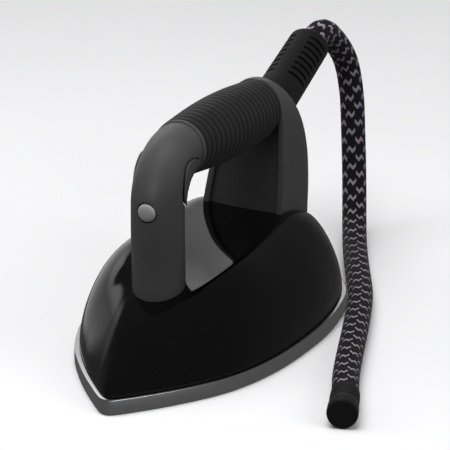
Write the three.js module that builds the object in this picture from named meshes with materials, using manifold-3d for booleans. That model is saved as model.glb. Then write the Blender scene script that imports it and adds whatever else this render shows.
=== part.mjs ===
// Steam generator iron: the hand iron with its hollow handle, steam trigger, cord boot and braided
// steam cord, built as separate parts. Millimetres, +Z up, nose towards -Y, the iron's left side +X.
// The origin is on the flat ironing face, midway between the nose and the heel.
import * as THREE from "three";
import { mergeVertices } from "three/addons/utils/BufferGeometryUtils.js";
import Module from "manifold-3d";

const wasm = await Module();
wasm.setup();

// ---- Driving dimensions ----
const SOLE_LENGTH = 228;
const SOLE_HALF_WIDTH = 63.5;
const SOLE_PIVOT = 12; // the outline is drawn in towards this place behind its middle
const SOLE_THICK = 9;
const SHELL_WALL = 2.4;
const SHIELD_TOP = SOLE_THICK + 1.2;
const POST_RADIUS = 14.2;
const POST_BORE = 12;
const COLLAR_RADIUS = 15.1;
const COLLAR_NECK = 13.4; // where the ring meets the elbow, so that a groove shows between them
const CORE_RADIUS = 11.5;
const CORE_BORE = 9.5;
const GRIP_TILT = 5; // degrees the grip falls towards the heel
const GRIP_LENGTH = 106;
const CORE_LENGTH = 105.5;
const GRIP_END_RADIUS = 15.2;
const GRIP_BULGE = 3.2;
const GRIP_SIDES = 24;
const RIB_COUNT = 20;
const RIB_DEPTH = 0.8;
const CORD_RADIUS = 7.3;
const COLUMN_WALL = 2.6;
const COLUMN_SLOPE = 0.225; // how far the column's front leans back per mm of height
const CUT_GAP = 0.1;
const BUTTON_TRAVEL = 1;
const SLIVER_VOLUME = 0.01; // mm3

// Distance behind the nose tip, and height above the soleplate's top edge, in the part's frame.
const back = (distance) => distance - SOLE_LENGTH / 2;
const above = (height) => height + SOLE_THICK;
const point = (x, distance, height) => new THREE.Vector3(x, back(distance), above(height));

// ---- Geometry helpers ----
function signedVolume(points, triangles) {
  let total = 0;
  for (const [a, b, c] of triangles) {
    total += points[a].dot(new THREE.Vector3().crossVectors(points[b], points[c]));
  }
  return total / 6;
}

function geometryFrom(points, triangles) {
  const outward = signedVolume(points, triangles) > 0;
  const index = triangles.flatMap(([a, b, c]) => (outward ? [a, b, c] : [a, c, b]));
  const geometry = new THREE.BufferGeometry().setFromPoints(points);
  geometry.setIndex(index);
  return geometry;
}

// Side faces between neighbouring rings that all have the same number of points.
function skin(rings, points, triangles) {
  const start = points.length;
  const count = rings[0].length;
  rings.forEach((ring) => points.push(...ring));
  for (let band = 0; band < rings.length - 1; band++) {
    const low = start + band * count;
    const high = low + count;
    for (let i = 0; i < count; i++) {
      const j = (i + 1) % count;
      triangles.push([low + i, low + j, high + j], [low + i, high + j, high + i]);
    }
  }
}

// A solid through a stack of rings, its two ends closed with a fan from the middle.
function loft(rings) {
  const points = [];
  const triangles = [];
  const count = rings[0].length;
  skin(rings, points, triangles);
  const last = (rings.length - 1) * count;
  for (const [first, turned] of [[0, true], [last, false]]) {
    const middle = new THREE.Vector3();
    for (let i = 0; i < count; i++) middle.addScaledVector(points[first + i], 1 / count);
    const hub = points.push(middle) - 1;
    for (let i = 0; i < count; i++) {
      const j = (i + 1) % count;
      triangles.push(turned ? [hub, first + j, first + i] : [hub, first + i, first + j]);
    }
  }
  return geometryFrom(points, triangles);
}

// Rings of a given radius round a path; oval stretches each ring sideways.
function pathRings(curve, radiusAt, sides, steps, oval = 1) {
  const frames = curve.computeFrenetFrames(steps, false);
  const rings = [];
  for (let step = 0; step <= steps; step++) {
    const along = step / steps;
    const centre = curve.getPointAt(along);
    const radius = radiusAt(along);
    const ring = [];
    for (let i = 0; i < sides; i++) {
      const angle = (2 * Math.PI * i) / sides;
      const across = frames.normals[step].clone().multiplyScalar(radius * Math.cos(angle));
      across.addScaledVector(frames.binormals[step], radius * Math.sin(angle));
      across.x *= oval;
      ring.push(centre.clone().add(across));
    }
    rings.push(ring);
  }
  return rings;
}

const rod = (curve, radius, sides, steps) => loft(pathRings(curve, () => radius, sides, steps));
const curveThrough = (points) => new THREE.CatmullRomCurve3(points, false, "centripetal");

function solidOf(geometry) {
  const plain = geometry.clone();
  plain.deleteAttribute("normal");
  plain.deleteAttribute("uv");
  const merged = mergeVertices(plain, 1e-4);
  return new wasm.Manifold(
    new wasm.Mesh({
      numProp: 3,
      vertProperties: new Float32Array(merged.attributes.position.array),
      triVerts: new Uint32Array(merged.index.array),
    }),
  );
}

function geometryOf(solid) {
  const mesh = solid.getMesh();
  const geometry = new THREE.BufferGeometry();
  geometry.setAttribute("position", new THREE.BufferAttribute(mesh.vertProperties, 3));
  geometry.setIndex(new THREE.BufferAttribute(mesh.triVerts, 1));
  return geometry;
}

// Where two faces coincide a boolean can leave slivers with no volume: only the real body is kept.
function mainBody(solid) {
  const bodies = solid.decompose().filter((body) => Math.abs(body.volume()) > SLIVER_VOLUME);
  if (bodies.length !== 1) throw new Error(`a boolean made ${bodies.length} bodies`);
  return bodies[0];
}

const combine = (method, first, others) =>
  geometryOf(mainBody(others.reduce((solid, other) => solid[method](solidOf(other)), solidOf(first))));
const cut = (body, ...tools) => combine("subtract", body, tools);
const join = (body, ...others) => combine("add", body, others);
const common = (body, ...others) => combine("intersect", body, others);

function box(width, depth, height, x, y, z) {
  return new THREE.BoxGeometry(width, depth, height).translate(x, y, z);
}

function cylinder(radius, length, axis, x, y, z, sides = 24) {
  const geometry = new THREE.CylinderGeometry(radius, radius, length, sides);
  if (axis === "x") geometry.rotateZ(Math.PI / 2);
  if (axis === "z") geometry.rotateX(Math.PI / 2);
  return geometry.translate(x, y, z);
}

// A solid turned about an axis; profile is [radius, distance along the axis].
function turned(profile, axis, sides = 32) {
  const outline = profile.map(([radius, along]) => new THREE.Vector2(radius, along));
  const geometry = new THREE.LatheGeometry(outline, sides);
  if (axis === "z") geometry.rotateX(Math.PI / 2);
  return geometry;
}

// A prism along X from a side outline of [y, z] points.
function sidePrism(outline, halfWidth) {
  const shape = new THREE.Shape(outline.map(([y, z]) => new THREE.Vector2(y, z)));
  const prism = new THREE.ExtrudeGeometry(shape, { depth: 2 * halfWidth, bevelEnabled: false });
  const sideways = new THREE.Matrix4().makeBasis(
    new THREE.Vector3(0, 1, 0), new THREE.Vector3(0, 0, 1), new THREE.Vector3(1, 0, 0),
  );
  return prism.translate(0, 0, -halfWidth).applyMatrix4(sideways);
}

// ---- Plan outlines ----
// Half outline of the soleplate from nose to heel: half width, distance behind the nose.
const SOLE_HALF = [
  [0, 0], [3, 1], [14.5, 12.4], [30.6, 31.5], [46.6, 56], [57.9, 89],
  [SOLE_HALF_WIDTH, 137], [62, 168], [56, 194], [39, 217], [20, 226], [0, SOLE_LENGTH],
];
const SAMPLES_PER_SPAN = 3;

// Closed ring through a half outline of points and its mirror image.
function mirroredRing(half) {
  const inner = half.slice(1, -1).reverse();
  const right = inner.map((p) => new THREE.Vector3(-p.x, p.y, p.z));
  const curve = new THREE.CatmullRomCurve3([...half, ...right], true, "centripetal");
  const count = (half.length + right.length) * SAMPLES_PER_SPAN;
  return Array.from({ length: count }, (_, i) => curve.getPoint(i / count));
}

const SOLE_RING = mirroredRing(SOLE_HALF.map(([w, u]) => new THREE.Vector3(w, back(u), 0)));

const FINE_MARGIN = 10; // outlines drawn in by more than this use every second point

// The soleplate outline drawn in by a margin, at a height in the part's frame.
function soleRing(margin, z) {
  const fine = margin < FINE_MARGIN;
  const ring = SOLE_RING.filter((_, i) => fine || i % 2 === 0);
  const across = 1 - margin / SOLE_HALF_WIDTH;
  const along = 1 - margin / (SOLE_LENGTH / 2);
  return ring.map((p) => new THREE.Vector3(p.x * across, SOLE_PIVOT + (p.y - SOLE_PIVOT) * along, z));
}

const solePlate = (margin, low, high) => loft([soleRing(margin, low), soleRing(margin, high)]);

// ---- Soleplate and steam chamber ----
const CHAMBER_MARGIN = 20;
const CHAMBER_FLOOR = 5;
const GASKET_WIDTH = 3;
const GASKET_LOW = 8.2;
const LID_TOP = 11.4;
const STEAM_HOLE_RADIUS = 1.6;
const LID_SCREWS = [[0, 62], [-36, 112], [36, 112], [0, 188]];

// A middle hole near the nose, then pairs in an outer and an inner row that follow the outline.
function steamHoles() {
  const places = [[0, 34]];
  for (let u = 46; u < 150; u += 16) places.push([9 + 0.24 * (u - 46), u]);
  for (let u = 76; u < 130; u += 16) places.push([5 + 0.08 * (u - 76), u]);
  const both = places.flatMap(([x, u]) => (x ? [[x, u], [-x, u]] : [[x, u]]));
  return both.map(([x, u]) => cylinder(STEAM_HOLE_RADIUS, 20, "z", x, back(u), 5, 8));
}

function soleplate() {
  const edge = 0.7;
  const body = loft([
    soleRing(1.2, 0), soleRing(0, 1), soleRing(0, SOLE_THICK - edge), soleRing(edge, SOLE_THICK),
  ]);
  const chamber = solePlate(CHAMBER_MARGIN, CHAMBER_FLOOR, SOLE_THICK + 1);
  const ledge = solePlate(CHAMBER_MARGIN - GASKET_WIDTH, GASKET_LOW, SOLE_THICK + 1);
  const posts = LID_SCREWS.map(([x, u]) => cylinder(5, 4, "z", x, back(u), 6.9, 20));
  const threads = LID_SCREWS.map(([x, u]) => cylinder(1.7, 8, "z", x, back(u), 7.5, 12));
  return cut(join(cut(body, chamber, ledge), ...posts), ...threads, ...steamHoles());
}

const chamberGasket = () =>
  cut(
    solePlate(CHAMBER_MARGIN - GASKET_WIDTH + 0.1, GASKET_LOW, SOLE_THICK),
    solePlate(CHAMBER_MARGIN, GASKET_LOW - 1, SOLE_THICK + 1),
  );

function steamChamberLid() {
  const plate = solePlate(CHAMBER_MARGIN - GASKET_WIDTH - 1, SOLE_THICK, LID_TOP);
  const holes = LID_SCREWS.map(([x, u]) => cylinder(1.8, 8, "z", x, back(u), SOLE_THICK, 12));
  const inlet = cylinder(3.2, 8, "z", 0, back(150), SOLE_THICK, 16);
  return cut(plate, inlet, ...holes);
}

// A pan-head screw standing on z = head, its shank pointing down.
function screw(x, y, head, shank, radius, headRadius) {
  const geometry = turned(
    [[0, -shank], [radius, -shank], [radius, 0], [headRadius, 0], [headRadius, 1.2],
      [headRadius * 0.6, 2], [0, 2]],
    "z", 12,
  );
  return geometry.translate(x, y, head);
}

function heatingElement() {
  const half = [[12, 186], [30, 172], [34, 140], [27, 108], [12, 82], [0, 75]];
  const height = LID_TOP + 4.1;
  const path = [...half, ...half.slice(0, -1).reverse().map(([x, u]) => [-x, u])];
  return rod(curveThrough(path.map(([x, u]) => new THREE.Vector3(x, back(u), height))), 4, 10, 26);
}

function thermostat() {
  const can = cylinder(9, 7, "z", 0, back(118), LID_TOP + 3.5, 24);
  const cap = cylinder(5, 4, "z", 0, back(118), LID_TOP + 9, 16);
  return join(can, cap);
}

const thermalFuse = () => cylinder(2.5, 14, "x", 0, back(136), LID_TOP + 2.5, 12);

const heatShield = () =>
  cut(solePlate(3.3, SOLE_THICK, SHIELD_TOP), solePlate(16, SOLE_THICK - 1, SHIELD_TOP + 1));

// ---- Body shell ----
// Crest round the hollow on top: half width, distance behind the nose, height above the rim.
const CREST_HALF = [
  [0, 44.5, 35.6], [7.5, 47, 36.5], [13.8, 53, 38.4], [19.6, 61, 41], [26, 72, 45], [30.6, 92, 48],
  [29.4, 130, 48], [27.6, 158, 48], [25.8, 178, 47], [24.6, 202, 39], [15, 221, 31], [0, 224.5, 29.5],
];
// Middle line of the hollow: distance behind the nose, height above the rim.
const SPINE = [
  [44.5, 35.6], [50, 37.4], [62, 39.8], [76, 42.4], [92, 44.6], [115, 46.2], [160, 46.6], [190, 45],
  [224.5, 29.5],
];
const SHELL_MARGIN = 2.6;
const SPINE_SHARE = 0.93; // how much of the hollow's length its middle line takes
const HOLLOW_CURVE = 2.2; // how soon the hollow's sides flatten out
const HOLLOW_EDGE = 15; // half width from which the hollow's sides are fully curved
const NOSE_END = 70; // distance behind the nose where the full side curve is reached
const CREST_START = CREST_HALF[0][1];
const CREST_END = CREST_HALF.at(-1)[1];
// Shares of the way to the crest taken by the side curve's two handles, at the nose and behind it.
const LOW_HANDLE = { nose: 0.2, side: 0.02, rise: 0.38 };
const HIGH_HANDLE = { nose: 0.58, side: 0.42, noseRise: 0.84, sideRise: 0.9 };

function spineHeight(distance) {
  const next = SPINE.findIndex(([u]) => u >= distance);
  if (next < 1) return SPINE[next === 0 ? 0 : SPINE.length - 1][1];
  const [[u0, h0], [u1, h1]] = SPINE.slice(next - 1, next + 1);
  return THREE.MathUtils.mapLinear(distance, u0, u1, h0, h1);
}

// The crest drawn in and lowered by a wall thickness.
function crestRing(wall, middle) {
  const inset = 1 - (wall * 1.5) / ((CREST_END - CREST_START) / 2);
  return mirroredRing(CREST_HALF.map(([w, u, z]) => point(w, u, z))).map(
    (p) => new THREE.Vector3(p.x * (1 - wall / 30), middle + (p.y - middle) * inset, p.z - wall * 1.15),
  );
}

// A point of the side between its low and high end.
function sidePoint(low, high, share) {
  const full = THREE.MathUtils.smoothstep(low.y, back(0), back(NOSE_END));
  const { lerp } = THREE.MathUtils;
  const towards = (out, up) => low.clone().lerp(high, out).setZ(lerp(low.z, high.z, up));
  const first = towards(lerp(LOW_HANDLE.nose, LOW_HANDLE.side, full), LOW_HANDLE.rise);
  const second = towards(
    lerp(HIGH_HANDLE.nose, HIGH_HANDLE.side, full),
    lerp(HIGH_HANDLE.noseRise, HIGH_HANDLE.sideRise, full),
  );
  return new THREE.CubicBezierCurve3(low, first, second, high).getPoint(share);
}

// A point of the hollow between the crest and the middle line.
function hollowPoint(high, middle, wall, share) {
  const y = middle + SPINE_SHARE * (high.y - middle);
  const spine = new THREE.Vector3(0, y, above(spineHeight(y - back(0))) - wall * 1.15);
  const curved = 1 - (1 - share) ** HOLLOW_CURVE;
  const fall = THREE.MathUtils.lerp(share, curved, Math.min(1, Math.abs(high.x) / HOLLOW_EDGE));
  return high.clone().lerp(spine, share).setZ(THREE.MathUtils.lerp(high.z, spine.z, fall));
}

// The shell's skin as rings, drawn in by a wall thickness.
function shellRings(wall) {
  const base = soleRing(SHELL_MARGIN + wall, wall ? SOLE_THICK - 2 : SHIELD_TOP);
  const middle = back((CREST_START + CREST_END) / 2);
  const crest = crestRing(wall, middle);
  const rises = wall ? [0, 0.3, 0.6, 0.85, 1] : [0, 0.12, 0.27, 0.43, 0.6, 0.75, 0.88, 1];
  const falls = wall ? [0.5, 1] : [0.35, 0.7, 1];
  return [
    ...rises.map((share) => base.map((low, i) => sidePoint(low, crest[i], share))),
    ...falls.map((share) => crest.map((high) => hollowPoint(high, middle, wall, share))),
  ];
}

// The last ring is folded flat on the centre line, so the skin closes without a cap.
function shellSolid(wall) {
  const rings = shellRings(wall);
  const points = [];
  const triangles = [];
  skin(rings, points, triangles);
  const count = rings[0].length;
  const floor = new THREE.Vector3(0, SOLE_PIVOT, rings[0][0].z);
  const hub = points.push(floor) - 1;
  for (let i = 0; i < count; i++) triangles.push([hub, (i + 1) % count, i]);
  return geometryFrom(points, triangles);
}

const cleaned = (geometry) => {
  const merged = mergeVertices(geometry, 1e-3);
  const index = merged.index.array;
  const kept = [];
  for (let i = 0; i < index.length; i += 3) {
    const [a, b, c] = [index[i], index[i + 1], index[i + 2]];
    if (a !== b && b !== c && c !== a) kept.push(a, b, c);
  }
  merged.setIndex(kept);
  return merged;
};

const OUTER_SHELL = cleaned(shellSolid(0));

// Hollow shell with a hole for the post and one below the column for the steam tube and wires.
function bodyShell() {
  const wiring = cylinder(14, 30, "z", 0, back(199), above(44), 20);
  return cut(OUTER_SHELL, cleaned(shellSolid(SHELL_WALL)), postSolid(POST_RADIUS + CUT_GAP, 4), wiring);
}

// ---- Handle path ----
const ELBOW_CENTRE = [82.4, 88.4]; // distance behind the nose, height above the rim
const ELBOW_RADIUS = 22.4;
// Middle of the post from its foot up: distance behind the nose, height, lean of its axis in degrees.
const POST_PLACES = [[63.2, 29, 92], [62.2, 52, 91.5], [60.6, 72, 91]];
const ELBOW_START = 180;
const ELBOW_END = 85;
const ELBOW_STEP = 14;
const POST_SIDES = 24;

function elbowPoint(degrees) {
  const angle = THREE.MathUtils.degToRad(degrees);
  const u = ELBOW_CENTRE[0] + ELBOW_RADIUS * Math.cos(angle);
  return point(0, u, ELBOW_CENTRE[1] + ELBOW_RADIUS * Math.sin(angle));
}

// Rings of the post and elbow tube at one radius.
function postRings(radius, footDrop = 0) {
  const places = POST_PLACES.map(([u, z, lean]) => ({ centre: point(0, u, z), lean }));
  places[0].centre.z -= footDrop;
  for (let degrees = ELBOW_START; degrees > ELBOW_END + 5; degrees -= ELBOW_STEP) {
    places.push({ centre: elbowPoint(degrees), lean: degrees - 90 });
  }
  places.push({ centre: elbowPoint(ELBOW_END), lean: ELBOW_END - 90 });
  return places.map(({ centre, lean }) => {
    const tilt = THREE.MathUtils.degToRad(lean);
    const outward = new THREE.Vector3(0, -Math.sin(tilt), Math.cos(tilt));
    return Array.from({ length: POST_SIDES }, (_, i) => {
      const angle = (2 * Math.PI * i) / POST_SIDES;
      const p = centre.clone().addScaledVector(outward, radius * Math.cos(angle));
      p.x += radius * Math.sin(angle);
      return p;
    });
  });
}

const postSolid = (radius, footDrop = 0) => loft(postRings(radius, footDrop));

// ---- Steam trigger ----
const TRIGGER_CENTRE = [71.6, 98.8];
const TRIGGER_HALF = [10.1, 12.2];
const TRIGGER_SIDES = 28;
const TRIGGER_SQUARENESS = 0.75;
const TRIGGER_LEAN = 0.2;
const TRIGGER_SKIN = 15.3;
const TRIGGER_GAP = 0.5;
const PIVOT = [78, 109];
const PIVOT_PIN_RADIUS = 1.5;
// Side outline of the arm that hangs from the pin, as offsets behind and above the pin.
const TRIGGER_ARM = [[-3, 3], [-4, -6], [-6, -12], [-4.5, -16.5], [1, -12.5], [3, 0]];

// Oval prism across the elbow: the trigger's side outline, grown by a margin.
function triggerPrism(grow) {
  const squared = (value) => Math.sign(value) * Math.abs(value) ** TRIGGER_SQUARENESS;
  const outline = Array.from({ length: TRIGGER_SIDES }, (_, i) => {
    const angle = (2 * Math.PI * i) / TRIGGER_SIDES;
    const a = (TRIGGER_HALF[0] + grow) * squared(Math.cos(angle));
    const b = (TRIGGER_HALF[1] + grow) * squared(Math.sin(angle));
    const u = TRIGGER_CENTRE[0] + a * Math.cos(TRIGGER_LEAN) + b * Math.sin(TRIGGER_LEAN);
    const z = TRIGGER_CENTRE[1] - a * Math.sin(TRIGGER_LEAN) + b * Math.cos(TRIGGER_LEAN);
    return [back(u), above(z)];
  });
  return sidePrism(outline, 20);
}

// Prism over everything behind and inside the elbow's centre line, moved inwards by an offset.
function innerSide(offset) {
  const outline = [[ELBOW_CENTRE[0], 60], [61 + offset, 60]];
  for (let degrees = ELBOW_START; degrees >= ELBOW_END; degrees -= 8) {
    const angle = THREE.MathUtils.degToRad(degrees);
    const reach = ELBOW_RADIUS - offset;
    outline.push([ELBOW_CENTRE[0] + reach * Math.cos(angle), ELBOW_CENTRE[1] + reach * Math.sin(angle)]);
  }
  return sidePrism(outline.map(([u, z]) => [back(u), above(z)]), 20);
}

function steamTrigger() {
  const skinPart = common(postSolid(TRIGGER_SKIN), triggerPrism(0));
  const saddle = cut(skinPart, postSolid(POST_RADIUS + TRIGGER_GAP));
  const pad = cut(
    common(postSolid(TRIGGER_SKIN - 0.05), triggerPrism(-0.9), innerSide(3.6)),
    postSolid(POST_BORE + 0.3),
  );
  const [u, z] = PIVOT;
  const arm = sidePrism(TRIGGER_ARM.map(([behind, up]) => [back(u + behind), above(z + up)]), 2.5);
  const boss = cylinder(3.4, 8, "x", 0, back(u), above(z), 24);
  const bore = cylinder(PIVOT_PIN_RADIUS + 0.05, 40, "x", 0, back(u), above(z), 24);
  return cut(join(saddle, pad, arm, boss), bore);
}

const triggerPin = () => cylinder(PIVOT_PIN_RADIUS, 25, "x", 0, back(PIVOT[0]), above(PIVOT[1]), 24);

// ---- Front button ----
const BUTTON_HEIGHT = 87.5;
const BUTTON_RADIUS = 5;
const BUTTON_BORE = 5.65;
const BUTTON_FACE = 45.2;
const BUTTON_STEM = 7.6;

function frontButton() {
  const y = back(BUTTON_FACE);
  const z = above(BUTTON_HEIGHT);
  const profile = [[0, 0], [3.4, 0.15], [4.6, 0.55], [BUTTON_RADIUS, 1.2], [BUTTON_RADIUS, 5.6],
    [6.2, 5.6], [6.2, 6.6], [2, 6.6], [2, BUTTON_STEM], [0, BUTTON_STEM]];
  return turned(profile, "y", 24).translate(0, y, z);
}

function buttonSwitch() {
  const y = back(BUTTON_FACE) + BUTTON_STEM + BUTTON_TRAVEL + 0.2;
  const z = above(BUTTON_HEIGHT);
  const body = box(6, 2.4, 6, 0, y + 1.7, z);
  const tip = cylinder(1.6, 0.8, "y", 0, y + 0.4, z, 12);
  const board = box(15, 1.2, 13, 0, y + 3.5, z);
  return join(body, tip, board);
}

// ---- Handle post ----
function handlePost() {
  const tube = cut(postSolid(POST_RADIUS), postSolid(POST_BORE, 2));
  const window = common(postSolid(POST_RADIUS + 1), triggerPrism(0.8), innerSide(0));
  const button = cylinder(BUTTON_BORE, 12, "y", 0, back(47), above(BUTTON_HEIGHT), 28);
  const pin = cylinder(PIVOT_PIN_RADIUS + 0.02, 25.2, "x", 0, back(PIVOT[0]), above(PIVOT[1]), 24);
  return cut(tube, window, button, pin);
}

// ---- Grip ----
// Everything here is turned about the grip's own axis, then laid down from the elbow to the column.
const GRIP_START = [85.2, 110.7];

function alongGrip(geometry) {
  const place = point(0, ...GRIP_START);
  return geometry.rotateX(-THREE.MathUtils.degToRad(GRIP_TILT)).translate(0, place.y, place.z);
}

const collarRing = () =>
  alongGrip(
    turned([[CORE_RADIUS + 0.1, -0.7], [COLLAR_NECK, -0.7], [COLLAR_NECK, -0.1], [COLLAR_RADIUS, 0.1],
      [COLLAR_RADIUS, 1.6], [COLLAR_RADIUS - 0.3, 1.9], [CORE_RADIUS + 0.1, 1.9],
      [CORE_RADIUS + 0.1, -0.7]], "y", GRIP_SIDES),
  );

const handleCore = () =>
  alongGrip(
    turned([[CORE_BORE, -1.2], [CORE_RADIUS, -1.2], [CORE_RADIUS, CORE_LENGTH],
      [CORE_BORE, CORE_LENGTH], [CORE_BORE, -1.2]], "y", GRIP_SIDES),
  );

const BULGE_SPAN = 115; // a little more than the grip's length, so that it is widest past its middle
const gripRadius = (along) =>
  GRIP_END_RADIUS + GRIP_BULGE * Math.sin((Math.PI * along) / BULGE_SPAN);

function gripSleeve() {
  const start = 2;
  const pitch = (GRIP_LENGTH - start) / RIB_COUNT;
  const profile = [[CORE_RADIUS + 0.1, start]];
  for (let rib = 0; rib < RIB_COUNT; rib++) {
    const from = start + rib * pitch;
    const outer = gripRadius(from + pitch / 2);
    profile.push([outer - RIB_DEPTH, from]);
    profile.push([outer, from + 0.5 * pitch]);
  }
  profile.push([gripRadius(GRIP_LENGTH) - RIB_DEPTH, GRIP_LENGTH]);
  profile.push([CORE_RADIUS + 0.1, GRIP_LENGTH]);
  profile.push([CORE_RADIUS + 0.1, start]);
  return cut(alongGrip(turned(profile, "y", GRIP_SIDES)), columnFront(-0.2, 200));
}

// ---- Rear column ----
// Horizontal sections: height above the rim, distance behind the nose of the back face, half width.
const COLUMN_SECTIONS = [
  [24, 224.4, 25.6], [46, 225, 25.4], [58, 225, 25.2], [72, 223.5, 24.8], [86, 219, 24],
  [97, 212.5, 22.8], [106, 205.5, 20.4], [113, 199, 16], [117.2, 194, 10.5], [118.8, 191, 5],
];
const COLUMN_FRONT = 150;
const COLUMN_SIDES = 32;
const COLUMN_FRONT_FOOT = [169.5, 44];
const SECTION_CURVE = { side: 0.62, back: 0.7, front: 0.3 }; // 1 is an ellipse, less is squarer

// Block that starts at the column's leaning front plane, moved back by an offset.
function columnFront(offset, depth) {
  const [u, z] = COLUMN_FRONT_FOOT;
  const at = (height) => back(u + offset + (height - z) * COLUMN_SLOPE);
  const outline = [[at(0), above(0)], [at(160), above(160)], [at(160) + depth, above(160)],
    [at(0) + depth, above(0)]];
  return sidePrism(outline, 60);
}

// How fast the column's sides draw together towards the front: a little low down, more near the top.
const columnFlare = (height) => 0.02 + 0.115 * Math.max(0, (height - COLUMN_FRONT_FOOT[1]) / 53) ** 1.7;

// One horizontal section of the column, drawn in by a wall thickness.
function columnSection(height, rear, half, wall, z) {
  const middle = (COLUMN_FRONT + rear) / 2;
  const depth = (rear - COLUMN_FRONT) / 2 - wall;
  const shaped = (value, power) => Math.sign(value) * Math.abs(value) ** power;
  return Array.from({ length: COLUMN_SIDES }, (_, i) => {
    const angle = (2 * Math.PI * (i + 0.5)) / COLUMN_SIDES;
    const power = Math.sin(angle) > 0 ? SECTION_CURVE.back : SECTION_CURVE.front;
    const u = middle + shaped(Math.sin(angle), power) * depth;
    const narrowed = Math.max(0.2, 1 - (columnFlare(height) * (rear - u)) / Math.max(half, 10));
    const x = shaped(Math.cos(angle), SECTION_CURVE.side) * Math.max(half - wall, 1) * narrowed;
    return new THREE.Vector3(x, back(u), z);
  });
}

// The column's outside, drawn in by a wall thickness; its top comes down with the wall.
function columnSolid(wall, footDrop = 0) {
  const top = COLUMN_SECTIONS.length - 1;
  return loft(
    COLUMN_SECTIONS.map(([height, rear, half], level) => {
      const drop = level ? wall * (level / top) ** 3 : footDrop;
      return columnSection(height, rear, half, wall, above(height) - drop);
    }),
  );
}

const PANEL_INSET = 2.2;
const PANEL_THICK = 2.4;

// Opening for the handle core in the column's front; it ends just past the core.
function coreHole() {
  const length = CORE_LENGTH + 1.5;
  return alongGrip(cylinder(CORE_RADIUS + 0.2, length, "y", 0, length / 2, 0, 24));
}

function columnCasing() {
  const outside = common(columnSolid(0), columnFront(0, 200));
  const inside = columnSolid(COLUMN_WALL, 6);
  return cut(outside, inside, columnCoverHole(), bootBody(CUT_GAP), coreHole(), OUTER_SHELL);
}

function columnFrontPanel() {
  const slab = columnFront(PANEL_INSET, PANEL_THICK);
  return cut(common(slab, columnSolid(COLUMN_WALL + 0.4, 6)), coreHole(), OUTER_SHELL);
}

// Screwed cover low on the column's back.
const COVER = { half: 10, low: 56, high: 84 };

function columnCoverHole() {
  const height = COVER.high - COVER.low;
  return box(2 * COVER.half, 40, height, 0, back(222), above((COVER.high + COVER.low) / 2));
}

function rearCover() {
  const height = COVER.high - COVER.low - 0.4;
  const middle = above((COVER.high + COVER.low) / 2);
  const block = box(2 * COVER.half - 0.4, 40, height, 0, back(222), middle);
  const plate = cut(common(block, columnSolid(0)), columnSolid(COLUMN_WALL, 6));
  return cut(plate, coverScrew(CUT_GAP));
}

function coverScrew(grow = 0) {
  const profile = [[0, -9], [1.5 + grow, -9], [1.5 + grow, -1.4], [2.8 + grow, -1.4 - grow],
    [2.8 + grow, grow ? 3 : 0], [0, grow ? 3 : 0]];
  return turned(profile, "y", 14).translate(0, back(222.6), above((COVER.high + COVER.low) / 2));
}

// ---- Boot and cord ----
const BOOT_RADIUS = 12;
const BOOT_OVAL = 1.08;
const BOOT_TAPER = 0.06;
const BOOT_FILLET = 2.6;
const BOOT_ROOT = point(0, 202, 95.6);
const BOOT_TIP = point(0, 262.5, 118.6);
const BOOT_LENGTH = BOOT_ROOT.distanceTo(BOOT_TIP);
const SLOT = { count: 8, from: 23.6, pitch: 4.75, width: 2.1, length: 12, depth: 1.9, lift: 35 };

// Moves something built along +Y from the origin onto the boot's axis.
function alongBoot(geometry) {
  const tilt = Math.atan2(BOOT_TIP.z - BOOT_ROOT.z, BOOT_TIP.y - BOOT_ROOT.y);
  return geometry.rotateX(tilt).translate(0, BOOT_ROOT.y, BOOT_ROOT.z);
}

// The boot's outside, swelled by a margin: a slightly oval taper with a rounded end.
function bootBody(grow) {
  const radiusAt = (along) => BOOT_RADIUS * (1 - (BOOT_TAPER * along) / BOOT_LENGTH) + grow;
  const edge = BOOT_LENGTH - BOOT_FILLET;
  const round = 0.3 * BOOT_FILLET;
  const profile = [
    [0, 0], [radiusAt(0), 0], [radiusAt(edge), edge], [radiusAt(edge) - round, BOOT_LENGTH - round],
    [radiusAt(edge) - BOOT_FILLET, BOOT_LENGTH], [0, BOOT_LENGTH],
  ];
  return alongBoot(turned(profile, "y", 20).scale(BOOT_OVAL, 1, 1));
}

// One slot in the boot's flank, turned up round the axis by its lift.
function bootSlot(side, along) {
  const middle = BOOT_RADIUS * BOOT_OVAL + 1.5 - SLOT.depth;
  const slot = box(3, SLOT.width, SLOT.length, side * middle, along, 0);
  return alongBoot(slot.rotateY(-side * THREE.MathUtils.degToRad(SLOT.lift)));
}

function cordBoot() {
  const slots = [];
  for (let i = 0; i < SLOT.count; i++) {
    const along = SLOT.from + i * SLOT.pitch;
    slots.push(bootSlot(-1, along), bootSlot(1, along));
  }
  return cut(bootBody(0), cordBody(CORD_RADIUS + CUT_GAP), ...slots);
}

const cordClamp = () =>
  alongBoot(
    turned([[CORD_RADIUS + CUT_GAP, -3], [9.4, -3], [9.4, -0.2], [CORD_RADIUS + CUT_GAP, -0.2],
      [CORD_RADIUS + CUT_GAP, -3]], "y", 24),
  );

// Centre line of the cord: out of the boot, over its bend, down behind the heel, along the table.
const CORD_PATH = [
  [0, 198.8, 94.4], [0, 230, 106.2], [0, 262.5, 118.6], [0.6, 279, 120.6], [2, 293.5, 112],
  [5, 306.5, 96], [9, 308, 77], [14, 302, 50], [19, 294, 24], [25.5, 280, 5.4], [35, 258, -0.9],
  [48.5, 228, -1.2], [64.5, 193, -1.4], [76, 160, -1.4], [98, 90, -1.3], [109.5, 60, -0.6],
  [115, 43, -0.6],
];
const END_SLEEVE = { length: 22, radius: 8.3 };

function cordCurve() {
  return curveThrough(CORD_PATH.map(([x, u, z]) => point(x, u, z)));
}

function cordBody(radius) {
  return rod(cordCurve(), radius, 12, 48);
}

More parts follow.
